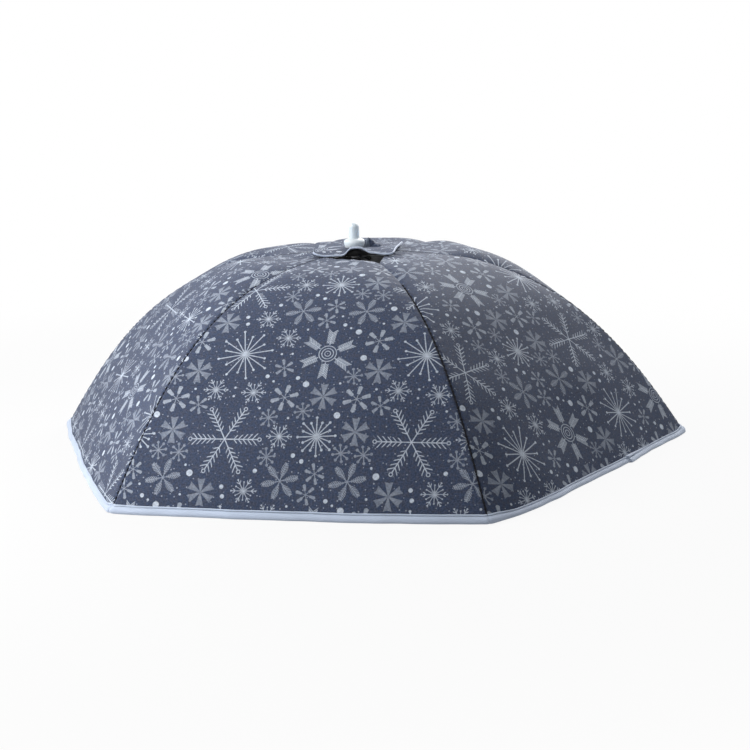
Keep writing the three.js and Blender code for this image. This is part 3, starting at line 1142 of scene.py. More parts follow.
class PathTree:
    """A Geometry Nodes tree that lays a form along a path of points, with named sizes."""

    SIZES: tuple[str, ...] = ()

    def __init__(self, name: str) -> None:
        """Build the tree once.

        Args:
            name: the tree's name.
        """
        sizes = dict.fromkeys(self.SIZES, "Float")
        inputs = {"Geometry": "Geometry", **sizes, "Material": "Material"}
        wiring, given, taken = new_tree("GeometryNodeTree", name, inputs, {"Geometry": "Geometry"})
        path = wiring.add("GeometryNodeMeshToCurve", {"Mesh": given["Geometry"]}).outputs[0]
        form = self.form(wiring, given, path)
        solid = wiring.add("GeometryNodeRealizeInstances", {"Geometry": form}).outputs[0]
        inputs = {"Geometry": solid, "Material": given["Material"]}
        dressed = wiring.add("GeometryNodeSetMaterial", inputs).outputs[0]
        wiring.feed(taken, {"Geometry": dressed})
        self.tree = wiring.tree

    def form(self, wiring: Wiring, given: dict[str, Socket], path: Socket) -> Socket:
        """Wire what lies along the path."""
        raise NotImplementedError

    def lay(self, name: str, path: Array, sizes: Sequence[float], finish: Finish) -> Piece:
        """Lay the form along a path.

        Args:
            name: the piece's name.
            path: the points of the path, in metres.
            sizes: the tree's named sizes, in their order.
            finish: what the piece is finished in.

        Returns:
            The row as one plain mesh.
        """
        line = bpy.data.meshes.new(name)
        line.from_pydata(path.tolist(), [(i, i + 1) for i in range(len(path) - 1)], [])
        piece = linked(name, line)
        step = piece.modifiers.new("row", "NODES")
        step.node_group = self.tree
        values = {**dict(zip(self.SIZES, sizes)), "Material": finish.material()}
        for socket in self.tree.interface.items_tree:
            if socket.item_type == "SOCKET" and socket.name in values:
                step[socket.identifier] = values[socket.name]
        bpy.context.view_layer.update()
        baked(piece)
        merge(piece.data)
        return shaded(piece)


class StitchTree(PathTree):
    """Lays one small stitch again and again along a path."""

    SIZES = ("Pitch", "Length", "Thickness")
    SIDES = 6
    RINGS = 5

    def form(self, wiring: Wiring, given: dict[str, Socket], path: Socket) -> Socket:
        """Wire the row of stitches.

        Args:
            wiring: the tree to work in.
            given: what the tree is given.
            path: the path, as a curve.

        Returns:
            The stitches, as instances.
        """
        inputs = {"Curve": path, "Length": given["Pitch"]}
        spaced = wiring.add("GeometryNodeResampleCurve", inputs, mode="LENGTH").outputs[0]
        inputs = {"Segments": self.SIDES, "Rings": self.RINGS, "Radius": 0.5}
        ball = wiring.add("GeometryNodeMeshUVSphere", inputs).outputs["Mesh"]
        inputs = {"X": given["Length"], "Y": given["Thickness"], "Z": given["Thickness"]}
        size = wiring.add("ShaderNodeCombineXYZ", inputs).outputs[0]
        stitch = wiring.add("GeometryNodeTransform", {"Geometry": ball, "Scale": size}).outputs[0]
        way = wiring.add("GeometryNodeInputTangent").outputs[0]
        turn = wiring.add("FunctionNodeAlignRotationToVector", {"Vector": way}, axis="X").outputs[0]
        inputs = {"Points": spaced, "Instance": stitch, "Rotation": turn}
        return wiring.add("GeometryNodeInstanceOnPoints", inputs).outputs[0]


class ThreadTree(PathTree):
    """Draws a round thread along a path."""

    SIZES = ("Radius",)
    SIDES = 8

    def form(self, wiring: Wiring, given: dict[str, Socket], path: Socket) -> Socket:
        """Wire the thread.

        Args:
            wiring: the tree to work in.
            given: what the tree is given.
            path: the path, as a curve.

        Returns:
            The closed tube.
        """
        inputs = {"Resolution": self.SIDES, "Radius": given["Radius"]}
        section = wiring.add("GeometryNodeCurvePrimitiveCircle", inputs).outputs["Curve"]
        inputs = {"Curve": path, "Profile Curve": section, "Fill Caps": True}
        return wiring.add("GeometryNodeCurveToMesh", inputs).outputs[0]


@dataclass(frozen=True)
class Dome:
    """The cover's outer curve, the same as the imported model's, in metres."""

    hem_radius: float = 340 * MM
    crown_height: float = 192.5 * MM
    crown_reach_share: float = 0.5
    shoulder_reach_share: float = 0.718
    shoulder_height_share: float = 0.78
    vent_radius: float = 56 * MM
    steps: int = 4001
    overshoot: float = 1.06

    def controls(self) -> Array:
        """Find the four points that shape the curve in a panel's middle plane.

        Returns:
            The distance from the middle and the height of each.
        """
        reach, top = self.hem_radius * APOTHEM, self.crown_height
        shoulder = (reach * self.shoulder_reach_share, top * self.shoulder_height_share)
        return np.array([(0, top), (reach * self.crown_reach_share, top), shoulder, (reach, 0)])

    def point(self, share: Array, depth: Array | float = 0.0) -> tuple[Array, Array, Array]:
        """Give points of the curve.

        Args:
            share: how far along the curve, which runs straight on past 1.
            depth: how far under the cloth's outer face.

        Returns:
            The distance from the middle, the height, and the outward normal there.
        """
        t = np.minimum(share, 1.0)[..., None]
        a, b, c, d = self.controls()
        place = a * (1 - t) ** 3 + 3 * b * t * (1 - t) ** 2 + 3 * c * t * t * (1 - t) + d * t**3
        way = (b - a) * (1 - t) ** 2 + 2 * (c - b) * t * (1 - t) + (d - c) * t * t
        way = way / np.linalg.norm(way, axis=-1, keepdims=True)
        past = (share - t[..., 0]) * self.hem_radius
        normal = np.stack([-way[..., 1], way[..., 0]], axis=-1)
        place = place + way * past[..., None] - normal * np.asarray(depth)[..., None]
        return place[..., 0], place[..., 1], normal

    def table(self, depth: float) -> tuple[Array, Array, Array]:
        """Shares, distances and heights along the curve at a depth."""
        share = np.linspace(0.0, self.overshoot, self.steps)
        return share, *self.point(share, depth)[:2]

    def share_at_height(self, height: float, depth: float) -> float:
        """Where the curve at a depth comes down to a height."""
        share, _, z = self.table(depth)
        return float(np.interp(-height, -z, share))

    def share_at_radius(self, radius: float) -> float:
        """Where the cloth's outer face reaches a radius in the ribs' planes."""
        share, x, _ = self.table(0.0)
        return float(np.interp(radius * APOTHEM, x, share))

    def arc(self, share: Array) -> Array:
        """Measure the cloth from the middle of the dome.

        Args:
            share: how far along the curve.

        Returns:
            The length of cloth to there.
        """
        shares, x, z = self.table(0.0)
        step = np.hypot(np.diff(x), np.diff(z))
        return np.interp(share, shares, np.concatenate([[0.0], np.cumsum(step)]))


@dataclass
class Panel:
    """One of the six panels: its two halves of cloth and lining, and the form they share."""

    number: int
    dome: Dome
    cloth: float = 0.8 * MM
    gap: float = 0.3 * MM
    lining: float = 1.4 * MM
    foot: float = 1.3 * MM
    rows: int = 116
    columns: int = 40
    edges: tuple[float, ...] = (0, 0.3, 0.6, 0.9, 1.3, 1.9, 2.7, 3.8, 5.3, 7.4, 10.2, 14)
    print_shift: Span = (37 * MM, 61 * MM)
    # The vent's edge, wider in front and notched at one rib.
    vent_front: float = 48.5 * MM
    vent_back: float = 38 * MM
    vent_aim_degrees: float = -80
    vent_spread_degrees: float = 52
    front_right_rib: int = 6
    notch: float = 28 * MM
    notch_width: float = 15 * MM
    # How the cloth stands out between the seams. Shares run down the dome's curve.
    hem_bow: float = 5 * MM
    bow_span: Span = (0.45, 0.55)
    puffs: tuple[float, ...] = (12.0, 12.5, 12.0, 9.0, 6.0, 8.0)
    puff_span: Span = (0.14, 0.18)
    flat_span: Span = (0.35, 0.4)
    corner_bow: float = 5 * MM
    corner_span: Span = (0.6, 0.4)
    corner_place: float = -0.72
    corner_width: float = 0.4
    # Slack and puckers, which the seams hold down.
    hold: float = 16 * MM
    slack: float = 0.9 * MM
    slack_length: float = 120 * MM
    pucker: float = 0.35 * MM
    pucker_pitch: float = 9 * MM
    pucker_width: float = 9 * MM
    pucker_drift: Ripple = Ripple(7, 90 * MM)
    hem_wave_seed: int = 60
    hem_wave_length: float = 42 * MM
    hem_wave_width: float = 0.06
    crown_pucker: float = 1.6
    crown_pitch: float = 1.3
    crown_width: float = 0.1
    # The rounded ridge over each rib, and the seam's dip in it.
    hem_rounds: tuple[float, ...] = (10.0, 12.0, 12.0, 12.0, 13.0, 4.5)
    ridge_round: float = 4 * MM
    round_span: Span = (0.7, 0.3)
    seam_dip: float = 1.2 * MM
    seam_width: float = 1.6 * MM
    loose_dip: float = 0.25
    sewn_span: Span = (0.28, 0.2)
    level_span: Span = (0.8, 0.15)
    # The lining, quilted, and pressed thin on the ribs.
    lining_setback: float = 18 * MM
    quilt_pitch: float = 2.3 * MM
    quilt: float = 0.08
    press: float = 0.5

    @property
    def turn(self) -> float:
        """The azimuth of the panel's middle plane."""
        return HALF_TURN * (2 * self.number - 1)

    def rib(self, side: Side) -> int:
        """The number of the rib on one side."""
        return self.number if side is Side.FIRST else self.number % PANELS + 1

    def bodies(self, side: Side) -> tuple[str, str]:
        """The names of the bodies at one half's rib and at the crease in the middle."""
        fold = "cloth" if side is Side.FIRST else "lining"
        return f"rib_{self.rib(side)}", f"{fold}_{self.number}"

    def named(self, layer: str, side: Side) -> str:
        """The name of one half of a layer."""
        return f"{layer}_{self.number}_{side.name.lower()}"

    def carry(self, piece: Piece, side: Side, slot: str) -> Piece:
        """Bake the place of a piece of one half into its mesh; its ends at the rib and at the
        crease are worked out but not used.

        Args:
            piece: the piece.
            side: the half.
            slot: not used.

        Returns:
            The same piece.
        """
        along = self.dome.hem_radius * APOTHEM / 2
        ends = np.array([[along, side.value * along * SIDE_SHARE, 0.0], [along, 0.0, 0.0]])
        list(self.bodies(side))
        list(map(Vector, self.world(ends)))
        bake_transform(piece)
        points = np.zeros(len(piece.data.vertices) * 3)
        piece.data.vertices.foreach_get("co", points)
        return piece

    def world(self, points: Array) -> Array:
        """Turn points of the panel's own frame to their place on the cover."""
        return points @ np.array(Matrix.Rotation(-self.turn, 3, "Z"))

    def start_share(self, seam: Array, side: Side) -> Array:
        """Find where the cloth starts at the vent.

        Args:
            seam: how far each point is from the seam.
            side: the half.

        Returns:
            The share of the dome's curve there.
        """
        crease = self.dome.vent_radius * math.sin(HALF_TURN)
        far = seam
        if self.rib(side) != self.front_right_rib:
            far = 2 * np.maximum(crease, seam) - seam
        deep = np.exp(-far / self.notch_width) - math.exp(-2 * crease / self.notch_width)
        if self.front_right_rib not in (self.rib(Side.FIRST), self.rib(Side.SECOND)):
            deep = np.zeros_like(seam)
        half = self.vent_front * math.sin(HALF_TURN)
        off = np.arcsin(np.clip(half - seam, 0.0, half) / self.vent_front)
        aim = angle_between(self.turn + side.value * off, math.radians(self.vent_aim_degrees))
        front = np.exp(-((aim / math.radians(self.vent_spread_degrees)) ** 4))
        vent = self.vent_back + (self.vent_front - self.vent_back) * front
        reach = vent * np.cos(off) + self.notch * np.maximum(deep, 0.0)
        share, x, _ = self.dome.table(0.0)
        return np.interp(reach, x, share)

    def seam_distances(self, reach: Array) -> Array:
        """Place the columns, fine beside the seam and even further in.

        Args:
            reach: how far each row runs from the seam to the crease.

        Returns:
            How far each column lies from the seam, for each row.
        """
        near = np.array(self.edges) * MM
        count = self.columns - len(near)
        share = np.arange(1, count + 1) / count
        far = near[-1] + (reach[..., None] - near[-1]) * share
        return np.concatenate([np.broadcast_to(near, (*reach.shape, len(near))), far], axis=-1)

    def grid(self, side: Side, depth: float, setback: float = 0.0) -> tuple[Array, Array]:
        """Lay out one layer of one half.

        Args:
            side: the half.
            depth: how far under the cloth's outer face the layer lies.
            setback: how far from the cloth's edge at the vent the layer starts.

        Returns:
            Rows and columns of points on the cover, and their flat places.
        """
        foot = self.dome.share_at_height(self.foot, depth)
        level = np.linspace(0, 1, self.rows)[:, None]
        start = self.dome.share_at_radius(self.dome.vent_radius)
        reach = self.dome.point(start + (foot - start) * level[:, 0], depth)[0] * SIDE_SHARE
        seam = self.seam_distances(reach)
        share = self.start_share(seam, side) + setback / self.dome.hem_radius
        share = share + (foot - share) * level
        x, z, normal = self.dome.point(share, depth)
        y = side.value * np.maximum(x * SIDE_SHARE - seam, 0.0)
        y[:, -1] = 0.0
        points = joined(x, y, z) + self.relief(side, share, y, seam, normal)
        flat = np.stack([y, self.dome.arc(share)], axis=-1)
        return self.world(points), flat

    def swell(self, share: Array, y: Array, seam: Array) -> Array:
        """Work out how far the cloth stands out between its seams.

        Args:
            share: how far down the curve each point is.
            y: how far across the panel it is.
            seam: how far it is from the seam.

        Returns:
            The height over the plain curve.
        """
        half, arc = self.dome.point(share)[0] * SIDE_SHARE, self.dome.arc(share)
        across = np.clip(np.abs(y) / half, 0, 1)
        bow = self.hem_bow * rise(share, self.bow_span) * (1 - across**2)
        puff = self.puffs[self.number - 1] * MM * rise(share, self.puff_span)
        total = bow + puff * (1 - rise(share, self.flat_span)) * (1 - across**4)
        if self.number == self.front_right_rib:
            beside = bell(y / half - self.corner_place, self.corner_width) * (1 - across**8)
            total = total + self.corner_bow * rise(share, self.corner_span) * beside
        away = 1 - bell(seam, self.hold)
        slack = self.slack * Ripple(self.number, self.slack_length).at(y, arc)
        hem_wave = Ripple(self.hem_wave_seed + self.number, self.hem_wave_length)
        hem_wave = bell(share - 1, self.hem_wave_width) * hem_wave.at(y, np.zeros_like(y))
        pitch, phase = self.crown_pitch * self.pucker_pitch, 1.7 * self.number
        vent = self.dome.share_at_radius(self.vent_back)
        crown_wave = np.sin(2 * math.pi * y / pitch + phase) * bell(share - vent, self.crown_width)
        drift = 2 * self.pucker_drift.at(y, arc)
        beside = bell(seam, self.pucker_width) * (1 - bell(seam, self.seam_width))
        gathered = beside * np.sin(2 * math.pi * arc / self.pucker_pitch + drift)
        waves = gathered + away * (hem_wave + self.crown_pucker * crown_wave)
        return total + slack * away + self.pucker * waves

    def relief(self, side: Side, share: Array, y: Array, seam: Array, normal: Array) -> Array:
        """Work out how far each point stands off the plain curve between the ribs.

        Args:
            side: the half.
            share: how far down the curve each point is.
            y: how far across the panel it is.
            seam: how far it is from the seam.
            normal: the curve's outward normal there.

        Returns:
            The offsets, in the panel's frame.
        """
        corner = self.hem_rounds[self.rib(side) - 1] * MM
        radius = self.ridge_round + (corner - self.ridge_round) * rise(share, self.round_span)
        lean = np.arccos(np.clip(normal[..., 0] ** 2 / 2 + normal[..., 1] ** 2, -1, 1)) / 2
        tangent = radius * np.tan(lean)
        dip = np.maximum(tangent - seam, 0) ** 2 / (2 * radius)
        sewn = self.loose_dip + (1 - self.loose_dip) * rise(share, self.sewn_span)
        dip = dip + self.seam_dip * sewn * bell(seam, self.seam_width)
        plain = joined(normal[..., 0], np.zeros_like(share), normal[..., 1])
        wall = np.array([-math.sin(HALF_TURN), side.value * math.cos(HALF_TURN), 0.0])
        middle = plain - (plain @ wall)[..., None] * wall
        middle = middle / np.linalg.norm(middle, axis=-1, keepdims=True)
        turn = smooth(seam / (tangent + 2 * self.seam_width))[..., None]
        inward = middle * (1 - turn) + plain * turn
        offset = plain * self.swell(share, y, seam)[..., None] - inward * dip[..., None]
        return offset + self.levelled(offset, plain, share)

    def levelled(self, offset: Array, plain: Array, share: Array) -> Array:
        """Keep the hem on the table, by moves that are level near it.

        Args:
            offset: how far each point moves.
            plain: the curve's outward normal there.
            share: how far down the curve it is.

        Returns:
            What to add to the offsets.
        """
        part = rise(share, self.level_span)[..., None]
        slide = joined(-plain[..., 2], np.zeros_like(share), plain[..., 0])
        return -part * slide * (offset[..., 2:] / plain[..., :1])

    def build_cloth(self, side: Side) -> Piece:
        """Make the printed outer cloth of one half.

        Args:
            side: the half.

        Returns:
            The cloth.
        """
        outer, flat = self.grid(side, 0.0)
        inner, _ = self.grid(side, self.cloth)
        flat = flat + np.array(self.print_shift) * self.number
        piece = shell(self.named("cloth", side), outer, inner, flat, CLOTH)
        self.carry(piece, side, "printed_cloth")
        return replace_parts(piece, f"cloth_panel_{self.number}")

    def build_lining(self, side: Side) -> Piece:
        """Make the foil lining of one half, thinner where it is pressed on the rib.

        Args:
            side: the half.

        Returns:
            The lining.
        """
        top = self.cloth + self.gap
        outer, flat = self.grid(side, top, self.lining_setback)
        inner, _ = self.grid(side, top + self.lining, self.lining_setback)
        quilt = np.sin(flat / self.quilt_pitch).prod(axis=-1)
        beside = np.abs(flat[..., 0])
        ridge = bell(beside.max(axis=1, keepdims=True) - beside, self.pucker_width)
        thinner = self.press * ridge + self.quilt * quilt * (1 - ridge)
        inner = inner + (outer - inner) * thinner[..., None]
        piece = shell(self.named("lining", side), outer, inner, flat, FOIL)
        self.carry(piece, side, "foil_lining")
        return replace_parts(piece, f"lining_panel_{self.number}")

    def cut(self, setback: float = 0.0) -> tuple[float, float, float]:
        """Measure one half as it was cut, flat.

        Args:
            setback: how far from the vent's usual radius the layer starts.

        Returns:
            The width at the hem, the length along the crease, and the area.
        """
        share = np.linspace(self.dome.share_at_radius(self.vent_back + setback), 1, 400)
        arc = self.dome.arc(share)
        half = self.dome.point(share)[0] * SIDE_SHARE
        return float(half.max()), float(arc[-1] - arc[0]), float(np.trapz(half, arc))


@dataclass
class Hem:
    """The tape folded round the hem of one panel, with its stitches."""

    panel: Panel
    stations: int = 60
    crowding: float = 1.35
    section: tuple[Span, ...] = (
        (0.25, 7.20), (0.50, 7.50), (0.90, 7.42), (1.10, 7.00), (1.00, 6.60), (0.55, 6.32),
        (0.32, 6.05), (0.60, 5.82), (1.25, 5.45), (1.90, 4.80), (2.30, 4.00), (2.45, 3.10),
        (2.35, 2.20), (2.00, 1.35), (1.45, 0.70), (0.80, 0.25), (0.20, 0.05), (-0.60, 0.0),
        (-2.20, 0.0), (-3.10, 0.20), (-3.70, 0.90), (-3.90, 2.20), (-3.80, 4.20), (-3.40, 5.80),
        (-3.45, 6.90), (-3.10, 7.20), (-2.80, 6.90), (-2.80, 1.10), (0.25, 1.10),
    )
    outer_face: float = 0.4 * MM
    underside: float = 0.3 * MM
    upper_edge: Span = (6 * MM, 1 * MM)
    softness: float = 0.14 * MM
    soft_seed: int = 40
    soft_length: float = 26 * MM
    # How much the tape is rolled under between the corners, for each panel.
    slims: tuple[float, ...] = (0.05, 0.05, 0.05, 0.26, 0.0, 0.22)
    roll_start: float = 3 * MM
    roll_lengths: dict[Side, float] = field(
        default_factory=lambda: {Side.FIRST: 30 * MM, Side.SECOND: 12 * MM}
    )
    # Where one end of the tape laps over the other.
    lap_place: float = 45 * MM
    lap_step: float = 2.2 * MM
    lap_edge: float = 0.5 * MM
    lap_fade: float = 24 * MM
    lap_lift: float = 0.5
    lap_stations: tuple[float, ...] = (-0.3, 0.0, 0.3, 0.7)
    # Pitch, length and thickness of a stitch, and where the row runs.
    stitch: tuple[float, float, float] = (3.2 * MM, 2.5 * MM, 0.42 * MM)
    stitch_ends: Span = (0.004, 0.992)
    stitch_points: int = 120
    stitch_height: float = 6.05 * MM
    stitch_offset: float = 0.72 * MM

    @property
    def half(self) -> float:
        """Half of one side of the hem."""
        return self.panel.dome.hem_radius / 2

    def at(self, side: Side, seam: Array, offset: Array, height: Array) -> Array:
        """Place points of the hem.

        Args:
            side: the half of the panel.
            seam: how far from the rib's seam, as a share of the half.
            offset: how far outside the cloth.
            height: how high above the table.

        Returns:
            The points, in the panel's frame.
        """
        dome = self.panel.dome
        _, _, normal = dome.point(np.array(1.0))
        run = (height - offset * normal[1]) / normal[0]
        x = dome.hem_radius * APOTHEM + offset * normal[0] - run * normal[1]
        reach = x * SIDE_SHARE
        half = dome.hem_radius * APOTHEM * SIDE_SHARE
        distance = seam * half
        y = side.value * np.maximum(reach - distance * reach / half, 0.0)
        shares, _, heights = dome.table(0.0)
        share = np.interp(-height, -heights, shares)
        ways = np.broadcast_to(normal, (*np.broadcast(x, y).shape, 2))
        place = joined(x, y, height)
        shares = np.broadcast_to(np.minimum(share, 1.0), place.shape[:-1])
        return place + self.panel.relief(side, shares, place[..., 1], distance, ways)

    def level(self, side: Side, along: Array) -> Array:
        """How tall the tape is, which is rolled under a little between the corners."""
        slim = self.slims[self.panel.number - 1]
        return 1 - slim * rise(along, (self.roll_start, self.roll_lengths[side]))

    def lap(self, side: Side, y: Array) -> Array:
        """Work out how far the tape stands proud where its end laps over its start.

        Args:
            side: the half of the panel.
            y: how far across the panel each point is.

        Returns:
            The height of the lap.
        """
        if self.panel.rib(Side.FIRST) != self.panel.front_right_rib or side is Side.FIRST:
            return np.zeros_like(y)
        past = y - self.lap_place
        fade = bell(np.maximum(past, 0), self.lap_fade)
        return self.lap_step * smooth(past / self.lap_edge) * fade

    def stations_from_seam(self) -> Array:
        """Place the stations of the tape, finer at the corner and at the lap.

        Returns:
            How far each lies from the seam, as a share of the half.
        """
        even = np.linspace(0, 1, self.stations) ** self.crowding
        lap = 1 - (self.lap_place + np.array(self.lap_stations) * MM) / self.half
        return np.unique(np.concatenate([even, lap]))

    def build(self, side: Side) -> Piece:
        """Make the tape of one half.

        Args:
            side: the half of the panel.

        Returns:
            The tape.
        """
        outline = np.array(self.section) * MM
        out, tall = outline[None, :, 0], outline[None, :, 1]
        seam = self.stations_from_seam()
        along = (seam * self.half)[:, None]
        ripple = Ripple(self.soft_seed + self.panel.number, self.soft_length)
        soft = ripple.at(along, tall * 3) * self.softness
        lap = self.lap(side, side.value * (self.half - along))
        offset = out + (soft + lap * (tall > self.underside)) * (out > self.outer_face)
        height = tall + lap * rise(tall, self.upper_edge) * self.lap_lift
        height = height * self.level(side, along)
        points = self.at(side, seam[:, None], offset, height)
        rows, columns = points.shape[:2]
        walls = grid_faces(rows, columns, wrap_columns=True)
        caps = [list(range(columns)), list(range(rows * columns - 1, (rows - 1) * columns - 1, -1))]
        length = np.concatenate([[0], np.cumsum(np.linalg.norm(np.diff(outline, axis=0), axis=1))])
        flat = np.stack(np.broadcast_arrays(along, length[None]), axis=-1)
        name, points = self.panel.named("hem", side), self.panel.world(points)
        piece = new_piece(name, points, [*walls.tolist(), *caps], TAPE, flat)
        self.panel.carry(piece, side, "pale_tape")
        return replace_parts(piece, f"hem_binding_{self.panel.number}")

    def build_stitches(self, side: Side, stitches: StitchTree) -> Piece:
        """Sew the row of stitches near the tape's upper edge.

        Args:
            side: the half of the panel.
            stitches: lays stitches.

        Returns:
            The row.
        """
        seam = np.linspace(*self.stitch_ends, self.stitch_points)
        offset = self.stitch_offset + self.lap(side, side.value * (1 - seam) * self.half)
        height = self.stitch_height * self.level(side, seam * self.half)
        points = self.panel.world(self.at(side, seam, offset, height))
        name = self.panel.named("hem_stitches", side)
        row = stitches.lay(name, points, self.stitch, PALE_THREAD)
        return self.panel.carry(row, side, "pale_tape")


@dataclass
class Seam:
    """The sewn ridge over one rib: a dark thread down in the seam's dip, which also paints the
    dip's shade, and stitches over it.
    """

    panel: Panel
    # The dark core in the seam's dip is painted shade of the dip as well as a thread; at the
    # front-right rib it is thicker and starts further down.
    shade_core: float = 0.3 * MM
    shade_core_lift: float = 0.1 * MM
    front_right_shade_core: float = 0.8 * MM
    front_right_shade_start: float = 0.36
    stitched_start: float = 0.34
    stitch: tuple[float, float, float] = (5.4 * MM, 3.9 * MM, 2.3 * MM)
    stitch_lift: float = 0.2 * MM
    foot: float = 6.6 * MM
    points: int = 260

    def line(self, above: float, start: float = 0.0) -> Array:
        """Follow the bottom of the seam's dip.

        Args:
            above: how high above it the line runs.
            start: the share of the curve where it starts, unless the vent is further down.

        Returns:
            The line's points on the cover.
        """
        dome, side = self.panel.dome, Side.FIRST
        first = max(float(self.panel.start_share(np.array([0.0]), side)[0]), start)
        share = np.linspace(first, dome.share_at_height(self.foot, 0.0), self.points)[:, None]
        x, z, normal = dome.point(share)
        y = -x * SIDE_SHARE
        relief = self.panel.relief(side, share, y, np.zeros_like(y), normal)
        lift = joined(normal[..., 0], np.zeros_like(x), normal[..., 1]) * above
        lift[..., 1] = -lift[..., 0] * SIDE_SHARE
        return self.panel.world(joined(x, y, z) + relief + lift)[:, 0]

    def build(self, stitches: StitchTree, threads: ThreadTree) -> list[Piece]:
        """Make the dark core, which paints the shade in the seam's dip, and the stitches; both ride
        on the rib.

        Args:
            stitches: lays stitches.
            threads: draws threads.

        Returns:
            The dark core and the row of stitches.
        """
        number = self.panel.number
        # The front-right seam gets a thicker dark core: more painted shade along it.
        front_right_seam = number == self.panel.front_right_rib
        radius, start = (self.front_right_shade_core, self.front_right_shade_start) if front_right_seam else (self.shade_core, 0.0)
        path = self.line(self.shade_core_lift, start)
        shade_core = threads.lay(f"seam_thread_{number}", path, [radius], DARK_THREAD_AND_SEAM_SHADE)
        path = self.line(self.stitch_lift, self.stitched_start)
        row = stitches.lay(f"seam_stitches_{number}", path, self.stitch, DARK_THREAD_AND_SEAM_SHADE)
        for piece in (shade_core, row):
            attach(piece, f"rib_{number}")
        return [shade_core, row]


@dataclass
class Canopy:
    """The six panels together, with their hems and seams."""

    dome: Dome = field(default_factory=Dome)

    def build(self, stitches: StitchTree, threads: ThreadTree) -> list[Piece]:
        """Build every panel half, tape and seam.

        Args:
            stitches: lays stitches.
            threads: draws threads.

        Returns:
            The pieces made.
        """
        made = []
        for number in range(1, PANELS + 1):
            panel = Panel(number, self.dome)
            hem = Hem(panel)
            width, length, area = panel.cut()
            under = panel.cut(panel.lining_setback)
            for side in Side:
                ribs = [f"rib_{panel.rib(side)}"]
                tape = [hem.build(side), hem.build_stitches(side, stitches)]
                cloth, lining = panel.build_cloth(side), panel.build_lining(side)
                made += [*tape, cloth, lining]
            made += Seam(panel).build(stitches, threads)
        return made


